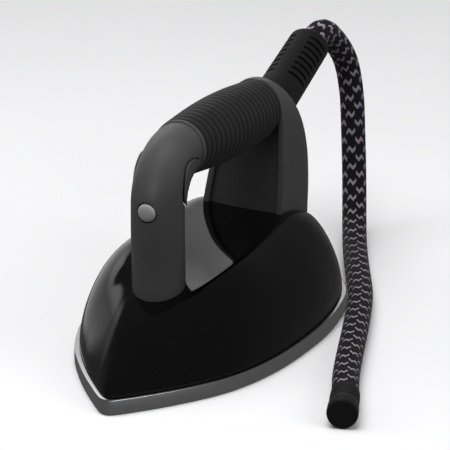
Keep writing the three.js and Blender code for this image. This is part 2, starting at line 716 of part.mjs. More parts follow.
// Moulded sleeve over the cut end of the cord.
function cordEndSleeve() {
  const curve = cordCurve();
  const end = curve.getPointAt(1);
  const start = curve.getPointAt(1 - END_SLEEVE.length / curve.getLength());
  const along = end.clone().sub(start).normalize();
  const axis = new THREE.LineCurve3(start, end.clone().addScaledVector(along, 2));
  return cut(rod(axis, END_SLEEVE.radius, 20, 1), cordBody(CORD_RADIUS + CUT_GAP));
}

// ---- Steam line and wiring inside ----
const INLET_AT = 150;
const TUBE_LEVEL = 21;

function steamInletFitting() {
  const body = cylinder(5.5, 13, "z", 0, back(INLET_AT), LID_TOP + 6.5, 20);
  const barb = cylinder(1.8, 8, "y", 0, back(INLET_AT) + 8, TUBE_LEVEL, 14);
  const bore = cylinder(1, 13, "y", 0, back(INLET_AT) + 6.6, TUBE_LEVEL, 10);
  const drop = cylinder(1.6, 12, "z", 0, back(INLET_AT), TUBE_LEVEL - 6, 10);
  return cut(join(body, barb), bore, drop);
}

function steamTube() {
  const level = TUBE_LEVEL - SOLE_THICK;
  const path = [[198.1, 94.1], [197.2, 93.6], [195.7, 91], [195, 84], [195, 58], [192, 34], [182, 18],
    [170, level], [INLET_AT + 6.2, level]];
  const curve = curveThrough(path.map(([u, z]) => point(0, u, z)));
  return cut(rod(curve, 3.2, 10, 16), rod(curve, 2.3, 8, 16));
}

const BLOCK_AT = 203;

function terminalBlock() {
  const body = box(30, 7, 10, 0, back(BLOCK_AT), 19);
  const holes = [-10, 0, 10].map((x) => cylinder(1.5, 12, "z", x, back(BLOCK_AT), 24, 10));
  return cut(body, ...holes);
}

function powerWire(x) {
  const path = [[x * 0.55, 203, 78], [x * 0.7, 203, 50], [x, BLOCK_AT, 22], [x, BLOCK_AT, 11]];
  return rod(curveThrough(path.map(([a, u, z]) => point(a, u, z))), 1.3, 8, 10);
}

// Runs from the switches through the elbow and the grip, then down the column.
function controlWire() {
  const path = [[7, 60.5, 84], [8, 59.5, 97], [7.5, 65, 109], [7, 78, 113.4], [6.5, 95, 110],
    [6.5, 186, 102], [9, 195, 96], [11, 196, 80], [11, 198, 52], [11, BLOCK_AT - 6, 30]];
  return rod(curveThrough(path.map(([x, u, z]) => point(x, u, z))), 1.1, 6, 30);
}

// ---- Trigger switch and spring ----
const SWITCH_LEVEL = 97.6;
const SWITCH_BACK = 66.5;
const PLUNGER_RADIUS = 1.2;

function triggerSwitch() {
  const body = box(10, 9, 6.4, 0, back(SWITCH_BACK - 4.5), above(SWITCH_LEVEL));
  const bore = cylinder(PLUNGER_RADIUS + 0.1, 12, "y", 0, back(SWITCH_BACK + 1), above(SWITCH_LEVEL), 14);
  return cut(body, bore);
}

function switchPlunger() {
  const tip = 71.7;
  const root = SWITCH_BACK - 3.6;
  const middle = (tip + root) / 2;
  return cylinder(PLUNGER_RADIUS, tip - root, "y", 0, back(middle), above(SWITCH_LEVEL), 14);
}

// Torsion spring wound on the trigger pin, with one leg up against the post and one on the arm's side.
function triggerSpring() {
  const turns = 4;
  const coil = 2.3;
  const points = [];
  for (let i = 0; i <= turns * 8; i++) {
    const angle = (2 * Math.PI * i) / 8;
    const x = -4.8 - (3.6 * i) / (turns * 8);
    const u = PIVOT[0] + coil * Math.cos(angle);
    points.push(point(x, u, PIVOT[1] + coil * Math.sin(angle)));
  }
  points.unshift(point(-4.7, PIVOT[0] + coil, PIVOT[1] - 7));
  points.push(point(-8.4, PIVOT[0] + coil, PIVOT[1] + 6));
  return rod(curveThrough(points), 0.4, 4, turns * 8 + 6);
}

// ---- Assembly ----
const LOOKS = {
  aluminium: { color: 0xb9bbbe, roughness: 0.28, metalness: 1 },
  steel: { color: 0x9a9ca0, roughness: 0.4, metalness: 1 },
  brass: { color: 0xb08d45, roughness: 0.35, metalness: 1 },
  gloss_black: { color: 0x0c0c0d, roughness: 0.12, metalness: 0 },
  charcoal: { color: 0x3a3b3d, roughness: 0.45, metalness: 0 },
  dark_plastic: { color: 0x222325, roughness: 0.55, metalness: 0 },
  rubber: { color: 0x151516, roughness: 0.8, metalness: 0 },
  silicone: { color: 0x8f4a3a, roughness: 0.7, metalness: 0 },
  braid: { color: 0x19181b, roughness: 0.9, metalness: 0 },
  silver_button: { color: 0x8c8e92, roughness: 0.25, metalness: 0.6 },
};

const iron = new THREE.Group();

function add(name, look, geometry) {
  const material = new THREE.MeshStandardMaterial(LOOKS[look]);
  const mesh = new THREE.Mesh(geometry, material);
  mesh.name = name;
  iron.add(mesh);
}

add("soleplate", "aluminium", soleplate());
add("chamber_gasket", "silicone", chamberGasket());
add("steam_chamber_lid", "steel", steamChamberLid());
LID_SCREWS.forEach(([x, u], i) => {
  add(`lid_screw_${i + 1}`, "steel", screw(x, back(u), LID_TOP, 6, 1.65, 3.2));
});
add("heating_element", "steel", heatingElement());
add("thermostat", "steel", thermostat());
add("thermal_fuse", "steel", thermalFuse());
add("heat_shield", "dark_plastic", heatShield());
add("body_shell", "gloss_black", bodyShell());
add("handle_post", "charcoal", handlePost());
add("steam_trigger", "dark_plastic", steamTrigger());
add("trigger_pin", "steel", triggerPin());
add("trigger_spring", "steel", triggerSpring());
add("trigger_switch", "dark_plastic", triggerSwitch());
add("switch_plunger", "steel", switchPlunger());
add("front_button", "silver_button", frontButton());
add("button_switch", "dark_plastic", buttonSwitch());
add("collar_ring", "silver_button", collarRing());
add("handle_core", "dark_plastic", handleCore());
add("grip_sleeve", "rubber", gripSleeve());
add("column_casing", "charcoal", columnCasing());
add("column_front_panel", "dark_plastic", columnFrontPanel());
add("rear_cover", "charcoal", rearCover());
add("cover_screw", "steel", coverScrew());
add("cord_boot", "rubber", cordBoot());
add("cord_clamp", "dark_plastic", cordClamp());
add("cord", "braid", cordBody(CORD_RADIUS));
add("cord_end_sleeve", "rubber", cordEndSleeve());
add("steam_inlet_fitting", "brass", steamInletFitting());
add("steam_tube", "silicone", steamTube());
add("terminal_block", "dark_plastic", terminalBlock());
add("wire_live", "silicone", powerWire(10));
add("wire_earth", "silicone", powerWire(0));
add("wire_neutral", "silicone", powerWire(-10));
add("control_wire", "silicone", controlWire());

export default iron;
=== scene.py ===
"""Looks of the steam generator iron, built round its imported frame.

Metres in Blender, millimetres in the shape code. +Z is up, the nose points to -Y, and the iron's left
is +X. Each visible part is rebuilt here as a fine mesh in the place its CAD node holds.
"""

import math

import bmesh
import bpy
import numpy as np
from mathutils import Matrix, Vector


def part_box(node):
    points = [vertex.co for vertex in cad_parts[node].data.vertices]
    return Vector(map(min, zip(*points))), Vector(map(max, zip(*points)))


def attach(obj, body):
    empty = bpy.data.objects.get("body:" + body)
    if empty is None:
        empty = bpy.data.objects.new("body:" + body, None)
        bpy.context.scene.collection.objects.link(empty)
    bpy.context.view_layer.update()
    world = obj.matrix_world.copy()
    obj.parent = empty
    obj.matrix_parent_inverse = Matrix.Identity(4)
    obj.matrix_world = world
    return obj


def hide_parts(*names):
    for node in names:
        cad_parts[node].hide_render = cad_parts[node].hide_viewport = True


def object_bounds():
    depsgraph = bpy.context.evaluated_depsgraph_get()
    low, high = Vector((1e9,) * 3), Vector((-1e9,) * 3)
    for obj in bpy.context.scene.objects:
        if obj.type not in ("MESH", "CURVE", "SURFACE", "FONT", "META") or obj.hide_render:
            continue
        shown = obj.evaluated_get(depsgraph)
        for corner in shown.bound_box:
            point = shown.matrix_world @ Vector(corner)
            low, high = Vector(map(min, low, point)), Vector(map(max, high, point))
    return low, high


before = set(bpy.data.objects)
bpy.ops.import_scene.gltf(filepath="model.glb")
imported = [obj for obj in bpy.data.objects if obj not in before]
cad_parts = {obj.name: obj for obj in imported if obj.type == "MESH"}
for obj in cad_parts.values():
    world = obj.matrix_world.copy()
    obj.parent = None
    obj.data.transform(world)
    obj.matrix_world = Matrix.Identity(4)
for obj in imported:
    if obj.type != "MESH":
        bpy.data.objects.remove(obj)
cad_low, cad_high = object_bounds()

MM = 0.001
sole_low, sole_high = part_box("soleplate")
NOSE = sole_low.y / MM
RIM = sole_high.z / MM
SOLE_LENGTH = (sole_high.y - sole_low.y) / MM
SOLE_HALF_WIDTH = sole_high.x / MM


def back(distance):
    """Y of a place given as its distance behind the nose tip."""
    return NOSE + distance


def above(height):
    """Z of a place given as its height above the soleplate's top edge."""
    return RIM + height


def point(x, distance, height):
    return np.array([x, back(distance), above(height)], float)


def smoothstep(value, low, high):
    t = min(1.0, max(0.0, (value - low) / (high - low)))
    return t * t * (3 - 2 * t)


def mix(a, b, share):
    return a + (b - a) * share


# ---- Curves ----
def curve_through(points, samples, closed=False):
    """Points on the centripetal Catmull-Rom curve through the given ones, some samples per span."""
    given = np.array(points, float)
    if closed:
        ring = np.vstack([given[-1:], given, given[:2]])
    else:
        ring = np.vstack([2 * given[0] - given[1], given, 2 * given[-1] - given[-2]])
    t = (np.arange(samples) / samples)[:, None]
    spans = []
    for p0, p1, p2, p3 in zip(ring, ring[1:], ring[2:], ring[3:]):
        d0, d1, d2 = (max(np.linalg.norm(b - a), 1e-9) ** 0.5 for a, b in ((p0, p1), (p1, p2), (p2, p3)))
        leave = ((p1 - p0) / d0 - (p2 - p0) / (d0 + d1) + (p2 - p1) / d1) * d1
        arrive = ((p2 - p1) / d1 - (p3 - p1) / (d1 + d2) + (p3 - p2) / d2) * d1
        square = -3 * p1 + 3 * p2 - 2 * leave - arrive
        cube = 2 * p1 - 2 * p2 + leave + arrive
        spans.append(p1 + leave * t + square * t**2 + cube * t**3)
    if not closed:
        spans.append(given[-1:])
    return np.vstack(spans)


def resampled(path, places):
    """Points of a path at given distances along it."""
    lengths = np.concatenate([[0], np.cumsum(np.linalg.norm(np.diff(path, axis=0), axis=1))])
    return np.stack([np.interp(places, lengths, path[:, axis]) for axis in range(3)], axis=1)


def path_length(path):
    return np.linalg.norm(np.diff(path, axis=0), axis=1).sum()


def path_frames(path):
    """Two unit vectors across the path at each of its points, carried along it without twist."""
    along = np.gradient(path, axis=0)
    along /= np.linalg.norm(along, axis=1)[:, None]
    first = np.cross([1.0, 0, 0], along[0])
    first /= np.linalg.norm(first)
    across = []
    for direction in along:
        first = first - direction * (first @ direction)
        first /= np.linalg.norm(first)
        across.append(first)
    across = np.array(across)
    return across, np.cross(along, across)


def rounded(profile, radius, steps=4):
    """A polyline with its inner corners turned into small curves."""
    corners = [np.array(p, float) for p in profile]
    made = [corners[0]]
    for before, corner, after in zip(corners, corners[1:], corners[2:]):
        lead, trail = corner - before, after - corner
        near = corner - lead * min(0.5, radius / max(np.linalg.norm(lead), 1e-9))
        far = corner + trail * min(0.5, radius / max(np.linalg.norm(trail), 1e-9))
        for step in range(steps + 1):
            t = step / steps
            made.append(near * (1 - t) ** 2 + corner * 2 * t * (1 - t) + far * t**2)
    made.append(corners[-1])
    return made


# ---- Meshes ----
WELD = 1e-7
SHARP_ANGLE = 38


def ring_faces(rings, count, start=0):
    """Quads between neighbouring rings of count points each."""
    grid = start + np.arange(rings * count).reshape(rings, count)
    following = np.roll(grid, -1, axis=1)
    return np.stack([grid[:-1], following[:-1], following[1:], grid[1:]], axis=-1).reshape(-1, 4)


def make_object(name, points, faces, angle=SHARP_ANGLE):
    """A mesh object from points in millimetres, welded, facing outwards and smooth up to an angle."""
    mesh = bpy.data.meshes.new(name)
    mesh.from_pydata((np.asarray(points, float) * MM).tolist(), [], [list(map(int, f)) for f in faces])
    obj = bpy.data.objects.new(name, mesh)
    bpy.context.scene.collection.objects.link(obj)
    clean(mesh, angle)
    return obj


def clean(mesh, angle=SHARP_ANGLE):
    work = bmesh.new()
    work.from_mesh(mesh)
    bmesh.ops.remove_doubles(work, verts=work.verts, dist=WELD)
    bmesh.ops.dissolve_degenerate(work, edges=work.edges, dist=WELD)
    bmesh.ops.recalc_face_normals(work, faces=work.faces)
    work.to_mesh(mesh)
    work.free()
    mesh.shade_smooth()
    mesh.set_sharp_from_angle(angle=math.radians(angle))


def loft(name, rings, angle=SHARP_ANGLE):
    """A solid through a stack of rings, closed at both ends."""
    rings = np.asarray(rings, float)
    levels, count = rings.shape[:2]
    faces = [list(face) for face in ring_faces(levels, count)]
    faces.append(list(range(count))[::-1])
    faces.append(list(range((levels - 1) * count, levels * count)))
    return make_object(name, rings.reshape(-1, 3), faces, angle)


def turned_rings(profile, sides):
    """Rings about the Y axis for a profile of (radius, distance along the axis)."""
    angles = np.arange(sides) * 2 * math.pi / sides
    circle = np.stack([np.sin(angles), np.zeros(sides), np.cos(angles)], axis=1)
    return [circle * radius + np.array([0, along, 0]) for radius, along in profile]


def turned(name, profile, sides=96, angle=SHARP_ANGLE):
    """A solid turned about the Y axis; the profile starts and ends on the axis or closes on itself."""
    rings = np.array(turned_rings(profile, sides))
    return make_object(name, rings.reshape(-1, 3), ring_faces(len(rings), sides), angle)


def side_prism(name, outline, half_width):
    """A prism along X over a side outline of (distance, height) points."""
    rings = [[point(x, u, h) for u, h in outline] for x in (-half_width, half_width)]
    return loft(name, rings)


def block(name, low, high):
    corners = [(low[0], low[1]), (high[0], low[1]), (high[0], high[1]), (low[0], high[1])]
    return loft(name, [[np.array([x, y, z], float) for x, y in corners] for z in (low[2], high[2])])


def move(obj, turn_x, place):
    """Turns an object about X by degrees, then moves its origin to a place in millimetres."""
    matrix = Matrix.Translation(Vector(place) * MM) @ Matrix.Rotation(math.radians(turn_x), 4, "X")
    obj.data.transform(matrix)
    return obj


def carved(obj, *steps, angle=SHARP_ANGLE):
    """Applies booleans in order; each step is an operation and the object it uses up."""
    for operation, tool in steps:
        modifier = obj.modifiers.new("boolean", "BOOLEAN")
        modifier.operation = operation
        modifier.solver = "EXACT"
        modifier.object = tool
        apply_modifiers(obj)
        bpy.data.objects.remove(tool)
    clean(obj.data, angle)
    return obj


def apply_modifiers(obj):
    bpy.context.view_layer.update()
    graph = bpy.context.evaluated_depsgraph_get()
    mesh = bpy.data.meshes.new_from_object(obj.evaluated_get(graph), depsgraph=graph)
    obj.modifiers.clear()
    obj.data = mesh


def bevel(obj, width, segments=2, angle=SHARP_ANGLE):
    """Rounds every edge sharper than an angle by a width in millimetres."""
    modifier = obj.modifiers.new("bevel", "BEVEL")
    modifier.width = width * MM
    modifier.segments = segments
    modifier.limit_method = "ANGLE"
    modifier.angle_limit = math.radians(angle)
    modifier.use_clamp_overlap = True
    apply_modifiers(obj)
    clean(obj.data, angle)
    return obj


# ---- Soleplate ----
SOLE_HALF = [
    (0, 0), (3, 1), (14.5, 12.4), (30.6, 31.5), (46.6, 56), (57.9, 89),
    (63.5, 137), (62, 168), (56, 194), (39, 217), (20, 226), (0, 228),
]
SPAN_SAMPLES = 12
SOLE_PIVOT = 12
EDGE_PROFILE = [
    (3.0, 0.0), (1.2, 0.0), (0.55, 0.2), (0.15, 0.55), (0.0, 1.1), (0.0, -0.75),
    (0.1, -0.35), (0.35, -0.1), (0.75, 0.0), (8.0, 0.0),
]
EDGE_LOW_POINTS = 5  # of these points, the first ones are measured from the ironing face
STEAM_HOLE_RADIUS = 1.6
STEAM_HOLE_DEPTH = 4
# Rows of steam holes: half width at the start, how fast it grows, first and last distance behind the nose.
STEAM_ROWS = [(9, 0.24, 46, 150), (5, 0.08, 76, 130)]
STEAM_PITCH = 16


def mirrored_ring(half):
    """Closed smooth ring through a half outline, nose to heel, and its mirror image."""
    other = [(-p[0], *p[1:]) for p in half[-2:0:-1]]
    return curve_through(list(half) + other, SPAN_SAMPLES, closed=True)


SOLE_RING = mirrored_ring([(w, back(u), 0) for w, u in SOLE_HALF])


def sole_ring(margin, z):
    """The soleplate's outline drawn in by a margin, at a height."""
    ring = SOLE_RING.copy()
    ring[:, 0] *= 1 - margin / SOLE_HALF_WIDTH
    ring[:, 1] = SOLE_PIVOT + (ring[:, 1] - SOLE_PIVOT) * (1 - margin / (SOLE_LENGTH / 2))
    ring[:, 2] = z
    return ring


def steam_hole_places():
    """A middle hole near the nose, then pairs in an outer and an inner row."""
    places = [(0, 34)]
    for sign in (-1, 1):
        for half, growth, first, last in STEAM_ROWS:
            places += [(sign * (half + growth * (u - first)), u) for u in range(first, last, STEAM_PITCH)]
    return places


def soleplate():
    rings = [sole_ring(margin, z if index < EDGE_LOW_POINTS else RIM + z)
             for index, (margin, z) in enumerate(EDGE_PROFILE)]
    plate = loft("soleplate_body", rings)
    countersink = STEAM_HOLE_RADIUS + 1.0
    profile = [(0, -1), (countersink, -1), (countersink, 0), (STEAM_HOLE_RADIUS, 0.9),
               (STEAM_HOLE_RADIUS, STEAM_HOLE_DEPTH), (0, STEAM_HOLE_DEPTH)]
    holes = [move(turned(f"hole{i}", profile, 24), 90, (x, back(u), 0))
             for i, (x, u) in enumerate(steam_hole_places())]
    return carved(plate, ("DIFFERENCE", joined(holes)))


def joined(objects):
    """One object holding the meshes of several."""
    work = bmesh.new()
    for obj in objects:
        work.from_mesh(obj.data)
    first = objects[0]
    work.to_mesh(first.data)
    work.free()
    for obj in objects[1:]:
        bpy.data.objects.remove(obj)
    return first


# ---- Body shell ----
CREST_HALF = [
    (0, 44.5, 35.6), (7.5, 47, 36.5), (13.8, 53, 38.4), (19.6, 61, 41), (26, 72, 45), (30.6, 92, 48),
    (29.4, 130, 48), (27.6, 158, 48), (25.8, 178, 47), (24.6, 202, 39), (15, 221, 31), (0, 224.5, 29.5),
]
CREST_MIDDLE = (CREST_HALF[0][1] + CREST_HALF[-1][1]) / 2
SHIELD_TOP = 1.2
SHELL_MARGIN = 2.6
SHELL_WALL = 2.4
# Middle line of the hollow: distance behind the nose, height above the rim.
SPINE = [
    (44.5, 35.6), (50, 37.4), (62, 39.8), (76, 42.4), (92, 44.6), (115, 46.2), (160, 46.6), (190, 45),
    (224.5, 29.5),
]
SPINE_SHARE = 0.93  # how much of the hollow's length its middle line takes
HOLLOW_CURVE = 2.2  # how soon the hollow's sides flatten out
HOLLOW_EDGE = 15  # half width from which the hollow's sides are fully curved
CREST_ROUNDING = 8
CREST_RINGS = 7  # rings on either side of the crest that its rounding smooths
NOSE_END = 70  # distance behind the nose where the full side curve is reached
# Shares of the way to the crest taken by the side curve's two handles, at the nose and behind it.
LOW_HANDLE = (0.2, 0.02)
HIGH_HANDLE = (0.58, 0.42)
LOW_RISE = 0.38
HIGH_RISE = (0.84, 0.9)
POST_GAP = 0.35


def spine_height(distance):
    line = curve_through([(u, h, 0) for u, h in SPINE], 12)
    return np.interp(distance, line[:, 0], line[:, 1])


def shell_rings(wall, side_steps, hollow_steps):
    """Rings from the shell's lower edge up its side to the crest, then down to the hollow's middle line."""
    base = sole_ring(SHELL_MARGIN + wall, above(SHIELD_TOP))
    crest = mirrored_ring([point(*p) for p in CREST_HALF])
    middle = back(CREST_MIDDLE)
    crest[:, 0] *= 1 - wall / 30
    crest[:, 1] = middle + (crest[:, 1] - middle) * (1 - wall * 1.5 / (middle - crest[:, 1].min()))
    crest[:, 2] -= wall * 1.15
    full = np.array([smoothstep(y, back(0), back(NOSE_END)) for y in base[:, 1]])[:, None]
    first = base + (crest - base) * mix(*LOW_HANDLE, full)
    second = base + (crest - base) * mix(*HIGH_HANDLE, full)
    rise = crest[:, 2:] - base[:, 2:]
    first[:, 2:] = base[:, 2:] + rise * LOW_RISE
    second[:, 2:] = base[:, 2:] + rise * mix(*HIGH_RISE, full)
    rings = []
    for s in side_steps:
        a, b, c, d = (1 - s) ** 3, 3 * s * (1 - s) ** 2, 3 * s**2 * (1 - s), s**3
        rings.append(a * base + b * first + c * second + d * crest)
    spine = crest.copy()
    spine[:, 0] = 0
    spine[:, 1] = middle + SPINE_SHARE * (crest[:, 1] - middle)
    spine[:, 2] = above(spine_height(spine[:, 1] - back(0))) - wall * 1.15
    curved = np.minimum(1, abs(crest[:, 0]) / HOLLOW_EDGE)
    for f in hollow_steps:
        ring = mix(crest, spine, f)
        ring[:, 2] = mix(crest[:, 2], spine[:, 2], mix(f, 1 - (1 - f) ** HOLLOW_CURVE, curved))
        rings.append(ring)
    return rings


def body_shell():
    side = [0, 0.02] + [0.9 * i / 22 for i in range(1, 22)] + [0.88 + 0.02 * i for i in range(7)]
    hollow = [0.03 * i for i in range(1, 9)] + [0.24 + 0.76 * i / 10 for i in range(1, 11)]
    outer = np.array(shell_rings(0, side, hollow))
    low, high = len(side) - CREST_RINGS, len(side) + CREST_RINGS
    for _ in range(CREST_ROUNDING):
        outer[low:high] = (outer[low - 1:high - 1] + 2 * outer[low:high] + outer[low + 1:high + 1]) / 4
    inner = shell_rings(SHELL_WALL, [i / 10 for i in range(11)], [0.25, 0.5, 0.75, 1])
    rings = np.concatenate([outer[::-1], inner])
    shell = make_object("body_shell_skin", rings.reshape(-1, 3), ring_faces(*rings.shape[:2]), 60)
    post = post_tube("post_cut", POST_RADIUS + POST_GAP, 6)
    wiring = turned("wiring_cut", [(0, -15), (14, -15), (14, 15), (0, 15)], 48)
    move(wiring, 90, point(0, 199, 44))
    return carved(shell, ("DIFFERENCE", post), ("DIFFERENCE", wiring), angle=60)


# ---- Handle post and elbow ----
POST_RADIUS = 14.2
POST_BORE = 12
POST_PLACES = [(63.2, 29), (62.2, 52), (60.6, 72)]
ELBOW_CENTRE = (82.4, 88.4)
ELBOW_RADIUS = 22.4
ELBOW_START = 180
ELBOW_END = 85
POST_SIDES = 96


def elbow_point(degrees, radius=ELBOW_RADIUS):
    angle = math.radians(degrees)
    return ELBOW_CENTRE[0] + radius * math.cos(angle), ELBOW_CENTRE[1] + radius * math.sin(angle)


def post_rings(radius, foot_drop=0.0):
    """Rings of the post and elbow, square to their centre line."""
    steps = 20
    arc = [elbow_point(mix(ELBOW_START, ELBOW_END, i / steps)) for i in range(steps + 1)]
    line = [(0, u, h) for u, h in POST_PLACES]
    lower = curve_through([point(*p) for p in line] + [point(0, *arc[0])], 5)[:-1]
    lower[0, 2] -= foot_drop
    centres = np.vstack([lower, [point(0, u, h) for u, h in arc]])
    along = np.gradient(centres, axis=0)
    end = math.radians(ELBOW_END - 90)
    along[-1] = (0, math.cos(end), math.sin(end))
    along /= np.linalg.norm(along, axis=1)[:, None]
    angles = np.arange(POST_SIDES) * 2 * math.pi / POST_SIDES
    rings = []
    for centre, direction in zip(centres, along):
        outward = np.array([0, -direction[2], direction[1]])
        ring = centre + radius * np.cos(angles)[:, None] * outward
        ring[:, 0] += radius * np.sin(angles)
        rings.append(ring)
    return rings


def post_tube(name, radius, foot_drop=0.0):
    return loft(name, post_rings(radius, foot_drop))


TRIGGER_CENTRE = (71.6, 98.8)
TRIGGER_HALF = (10.1, 12.2)
TRIGGER_SQUARENESS = 0.75
TRIGGER_LEAN = 0.2
TRIGGER_SKIN = 15.3
TRIGGER_GAP = 0.5
TRIGGER_GROOVE = 0.7
GROOVE_DEPTH = 0.6
PIVOT = (78, 109)
# Side outline of the arm that hangs from the pin, as offsets behind and above the pin.
TRIGGER_ARM = [(-3, 3), (-4, -6), (-6, -12), (-4.5, -16.5), (1, -12.5), (3, 0)]


def squared(value):
    return math.copysign(abs(value) ** TRIGGER_SQUARENESS, value)


def trigger_prism(name, grow):
    """Oval prism across the elbow: the trigger's side outline, grown by a margin."""
    outline = []
    for i in range(96):
        angle = 2 * math.pi * i / 96
        a = (TRIGGER_HALF[0] + grow) * squared(math.cos(angle))
        b = (TRIGGER_HALF[1] + grow) * squared(math.sin(angle))
        outline.append((TRIGGER_CENTRE[0] + a * math.cos(TRIGGER_LEAN) + b * math.sin(TRIGGER_LEAN),
                        TRIGGER_CENTRE[1] - a * math.sin(TRIGGER_LEAN) + b * math.cos(TRIGGER_LEAN)))
    return side_prism(name, outline, 20)


def inner_side(name, offset):
    """Prism over everything inside the elbow's centre line, moved inwards by an offset."""
    outline = [(ELBOW_CENTRE[0], 60), (61 + offset, 60)]
    for degrees in range(ELBOW_START, ELBOW_END - 1, -2):
        outline.append(elbow_point(degrees, ELBOW_RADIUS - offset))
    return side_prism(name, outline, 20)


BUTTON_HEIGHT = 87.5
BUTTON_BORE = 5.65
BUTTON_FACE = 45.2


def handle_post():
    post = carved(post_tube("handle_post_shell", POST_RADIUS),
                  ("DIFFERENCE", extended_bore("post_bore", POST_BORE)))
    window = carved(trigger_prism("window", 0.8), ("INTERSECT", inner_side("inner", 0)))
    hole_profile = [(0, -8), (BUTTON_BORE, -8), (BUTTON_BORE, 8), (0, 8)]
    hole = move(turned("button_hole", hole_profile), 0, point(0, 47, BUTTON_HEIGHT))
    recess = carved(trigger_prism("recess", TRIGGER_GROOVE),
                    ("DIFFERENCE", post_tube("recess_core", POST_RADIUS - GROOVE_DEPTH, 6)))
    post = carved(post, ("DIFFERENCE", window), ("DIFFERENCE", hole), ("DIFFERENCE", recess))
    return bevel(post, 0.25, 3)


def extended_bore(name, radius):
    """The tube's inside, running a little past both of its ends."""
    rings = post_rings(radius, 3)
    step = rings[-1] - rings[-2]
    ahead = rings[-1] + 3 * step / np.linalg.norm(rings[-1].mean(0) - rings[-2].mean(0))
    return loft(name, rings + [ahead])


def steam_trigger():
    saddle = carved(post_tube("trigger_saddle", TRIGGER_SKIN),
                    ("INTERSECT", trigger_prism("oval", 0)),
                    ("DIFFERENCE", post_tube("saddle_bore", POST_RADIUS + TRIGGER_GAP, 5)))
    pad = carved(post_tube("trigger_pad", TRIGGER_SKIN - 0.05),
                 ("INTERSECT", trigger_prism("oval", -0.9)),
                 ("INTERSECT", inner_side("inner", 3.6)),
                 ("DIFFERENCE", post_tube("pad_bore", POST_BORE + 0.3, 5)))
    u, h = PIVOT
    arm = side_prism("trigger_arm", [(u + behind, h + up) for behind, up in TRIGGER_ARM], 2.5)
    trigger = carved(saddle, ("UNION", pad), ("UNION", arm))
    trigger.name = "steam_trigger_shell"
    return bevel(trigger, 0.2, 3)


def front_button():
    profile = rounded([(0, -0.35), (2.5, -0.15), (4.3, 0.35), (5, 1.2), (5, 5.6), (6.2, 5.6), (6.2, 6.6),
                       (2, 6.6), (2, 7.6), (0, 7.6)], 0.5)
    return move(turned("front_button_cap", profile), 0, point(0, BUTTON_FACE, BUTTON_HEIGHT))


# ---- Grip ----
GRIP_START = (85.2, 110.7)
GRIP_TILT = 5
GRIP_LENGTH = 106
GRIP_FROM = 2
CORE_RADIUS = 11.6
CORE_LENGTH = 105.5
GRIP_END_RADIUS = 15.2
GRIP_BULGE = 3.2
GRIP_WAVE = 115
RIB_COUNT = 20
RIB_DEPTH = 0.8
RIB_SAMPLES = 10
COLLAR_RADIUS = 15.1
COLLAR_NECK = 13.4  # where the ring meets the elbow, so that a groove shows between them


def along_grip(obj):
    return move(obj, -GRIP_TILT, point(0, *GRIP_START))


def collar_ring():
    profile = rounded([(CORE_RADIUS, -0.7), (COLLAR_NECK, -0.7), (COLLAR_NECK, -0.1), (COLLAR_RADIUS, 0.1),
                       (COLLAR_RADIUS, 1.6), (COLLAR_RADIUS - 0.3, 1.9), (CORE_RADIUS, 1.9)], 0.2, 3)
    return along_grip(turned("collar_ring_band", list(profile) + [profile[0]]))


def grip_sleeve():
    """Ribbed sleeve; points past the column's slanted front are drawn back onto it."""
    count = RIB_COUNT * RIB_SAMPLES
    profile = [(CORE_RADIUS, GRIP_FROM)]
    for i in range(count + 1):
        along = GRIP_FROM + (GRIP_LENGTH - GRIP_FROM) * i / count
        phase = (i / RIB_SAMPLES) % 1.0
        groove = abs(math.cos(math.pi * phase)) ** 5
        radius = GRIP_END_RADIUS + GRIP_BULGE * math.sin(math.pi * along / GRIP_WAVE)
        profile.append((radius - RIB_DEPTH * groove, along))
    profile.append((CORE_RADIUS, GRIP_LENGTH))
    profile.append(profile[0])
    sleeve = along_grip(turned("grip_rubber", profile, 144, 60))
    for vertex in sleeve.data.vertices:
        limit = column_front_at(vertex.co.z / MM) * MM - 0.0002
        vertex.co.y = min(vertex.co.y, limit)
    clean(sleeve.data, 60)
    return sleeve


# ---- Rear column ----
COLUMN_SECTIONS = [
    (24, 224.4, 25.6), (46, 225, 25.4), (58, 225, 25.2), (72, 223.5, 24.8), (86, 219, 24),
    (97, 212.5, 22.8), (106, 205.5, 20.4), (113, 199, 16), (117.2, 194, 10.5), (118.8, 191, 5),
]
COLUMN_FRONT = 150
COLUMN_SIDES = 128
COLUMN_WALL = 2.6
COLUMN_SLOPE = 0.225
COLUMN_FLARE = (0.02, 0.115, 1.7)  # how fast the sides spread: low down, more near the top, its curve
FLARE_SPAN = 53  # height over which the spread grows by its full amount
SECTION_SIDE = 0.62  # 1 is an ellipse, less is squarer
SECTION_BACK = 0.7
SECTION_FRONT = 0.3
COLUMN_FRONT_FOOT = (169.5, 44)
COLUMN_ROUNDING = 1.4
COVER_HALF = 10
COVER_LOW = 56
COVER_HIGH = 84
COVER_SCREW = (0, 222.6, (COVER_LOW + COVER_HIGH) / 2)


def column_front_at(z):
    """Y of the column's leaning front plane at a height."""
    u, h = COLUMN_FRONT_FOOT
    return back(u) + (z - above(h)) * COLUMN_SLOPE


def front_block(name, offset, depth):
    low, high = above(0), above(160)
    foot, head = column_front_at(low) + offset, column_front_at(high) + offset
    outline = [(foot, low), (head, high), (head + depth, high), (foot + depth, low)]
    return loft(name, [[np.array([x, y, z]) for y, z in outline] for x in (-60, 60)])


def flare_at(height):
    low, more, power = COLUMN_FLARE
    return low + more * max(0.0, (height - COLUMN_FRONT_FOOT[1]) / FLARE_SPAN) ** power


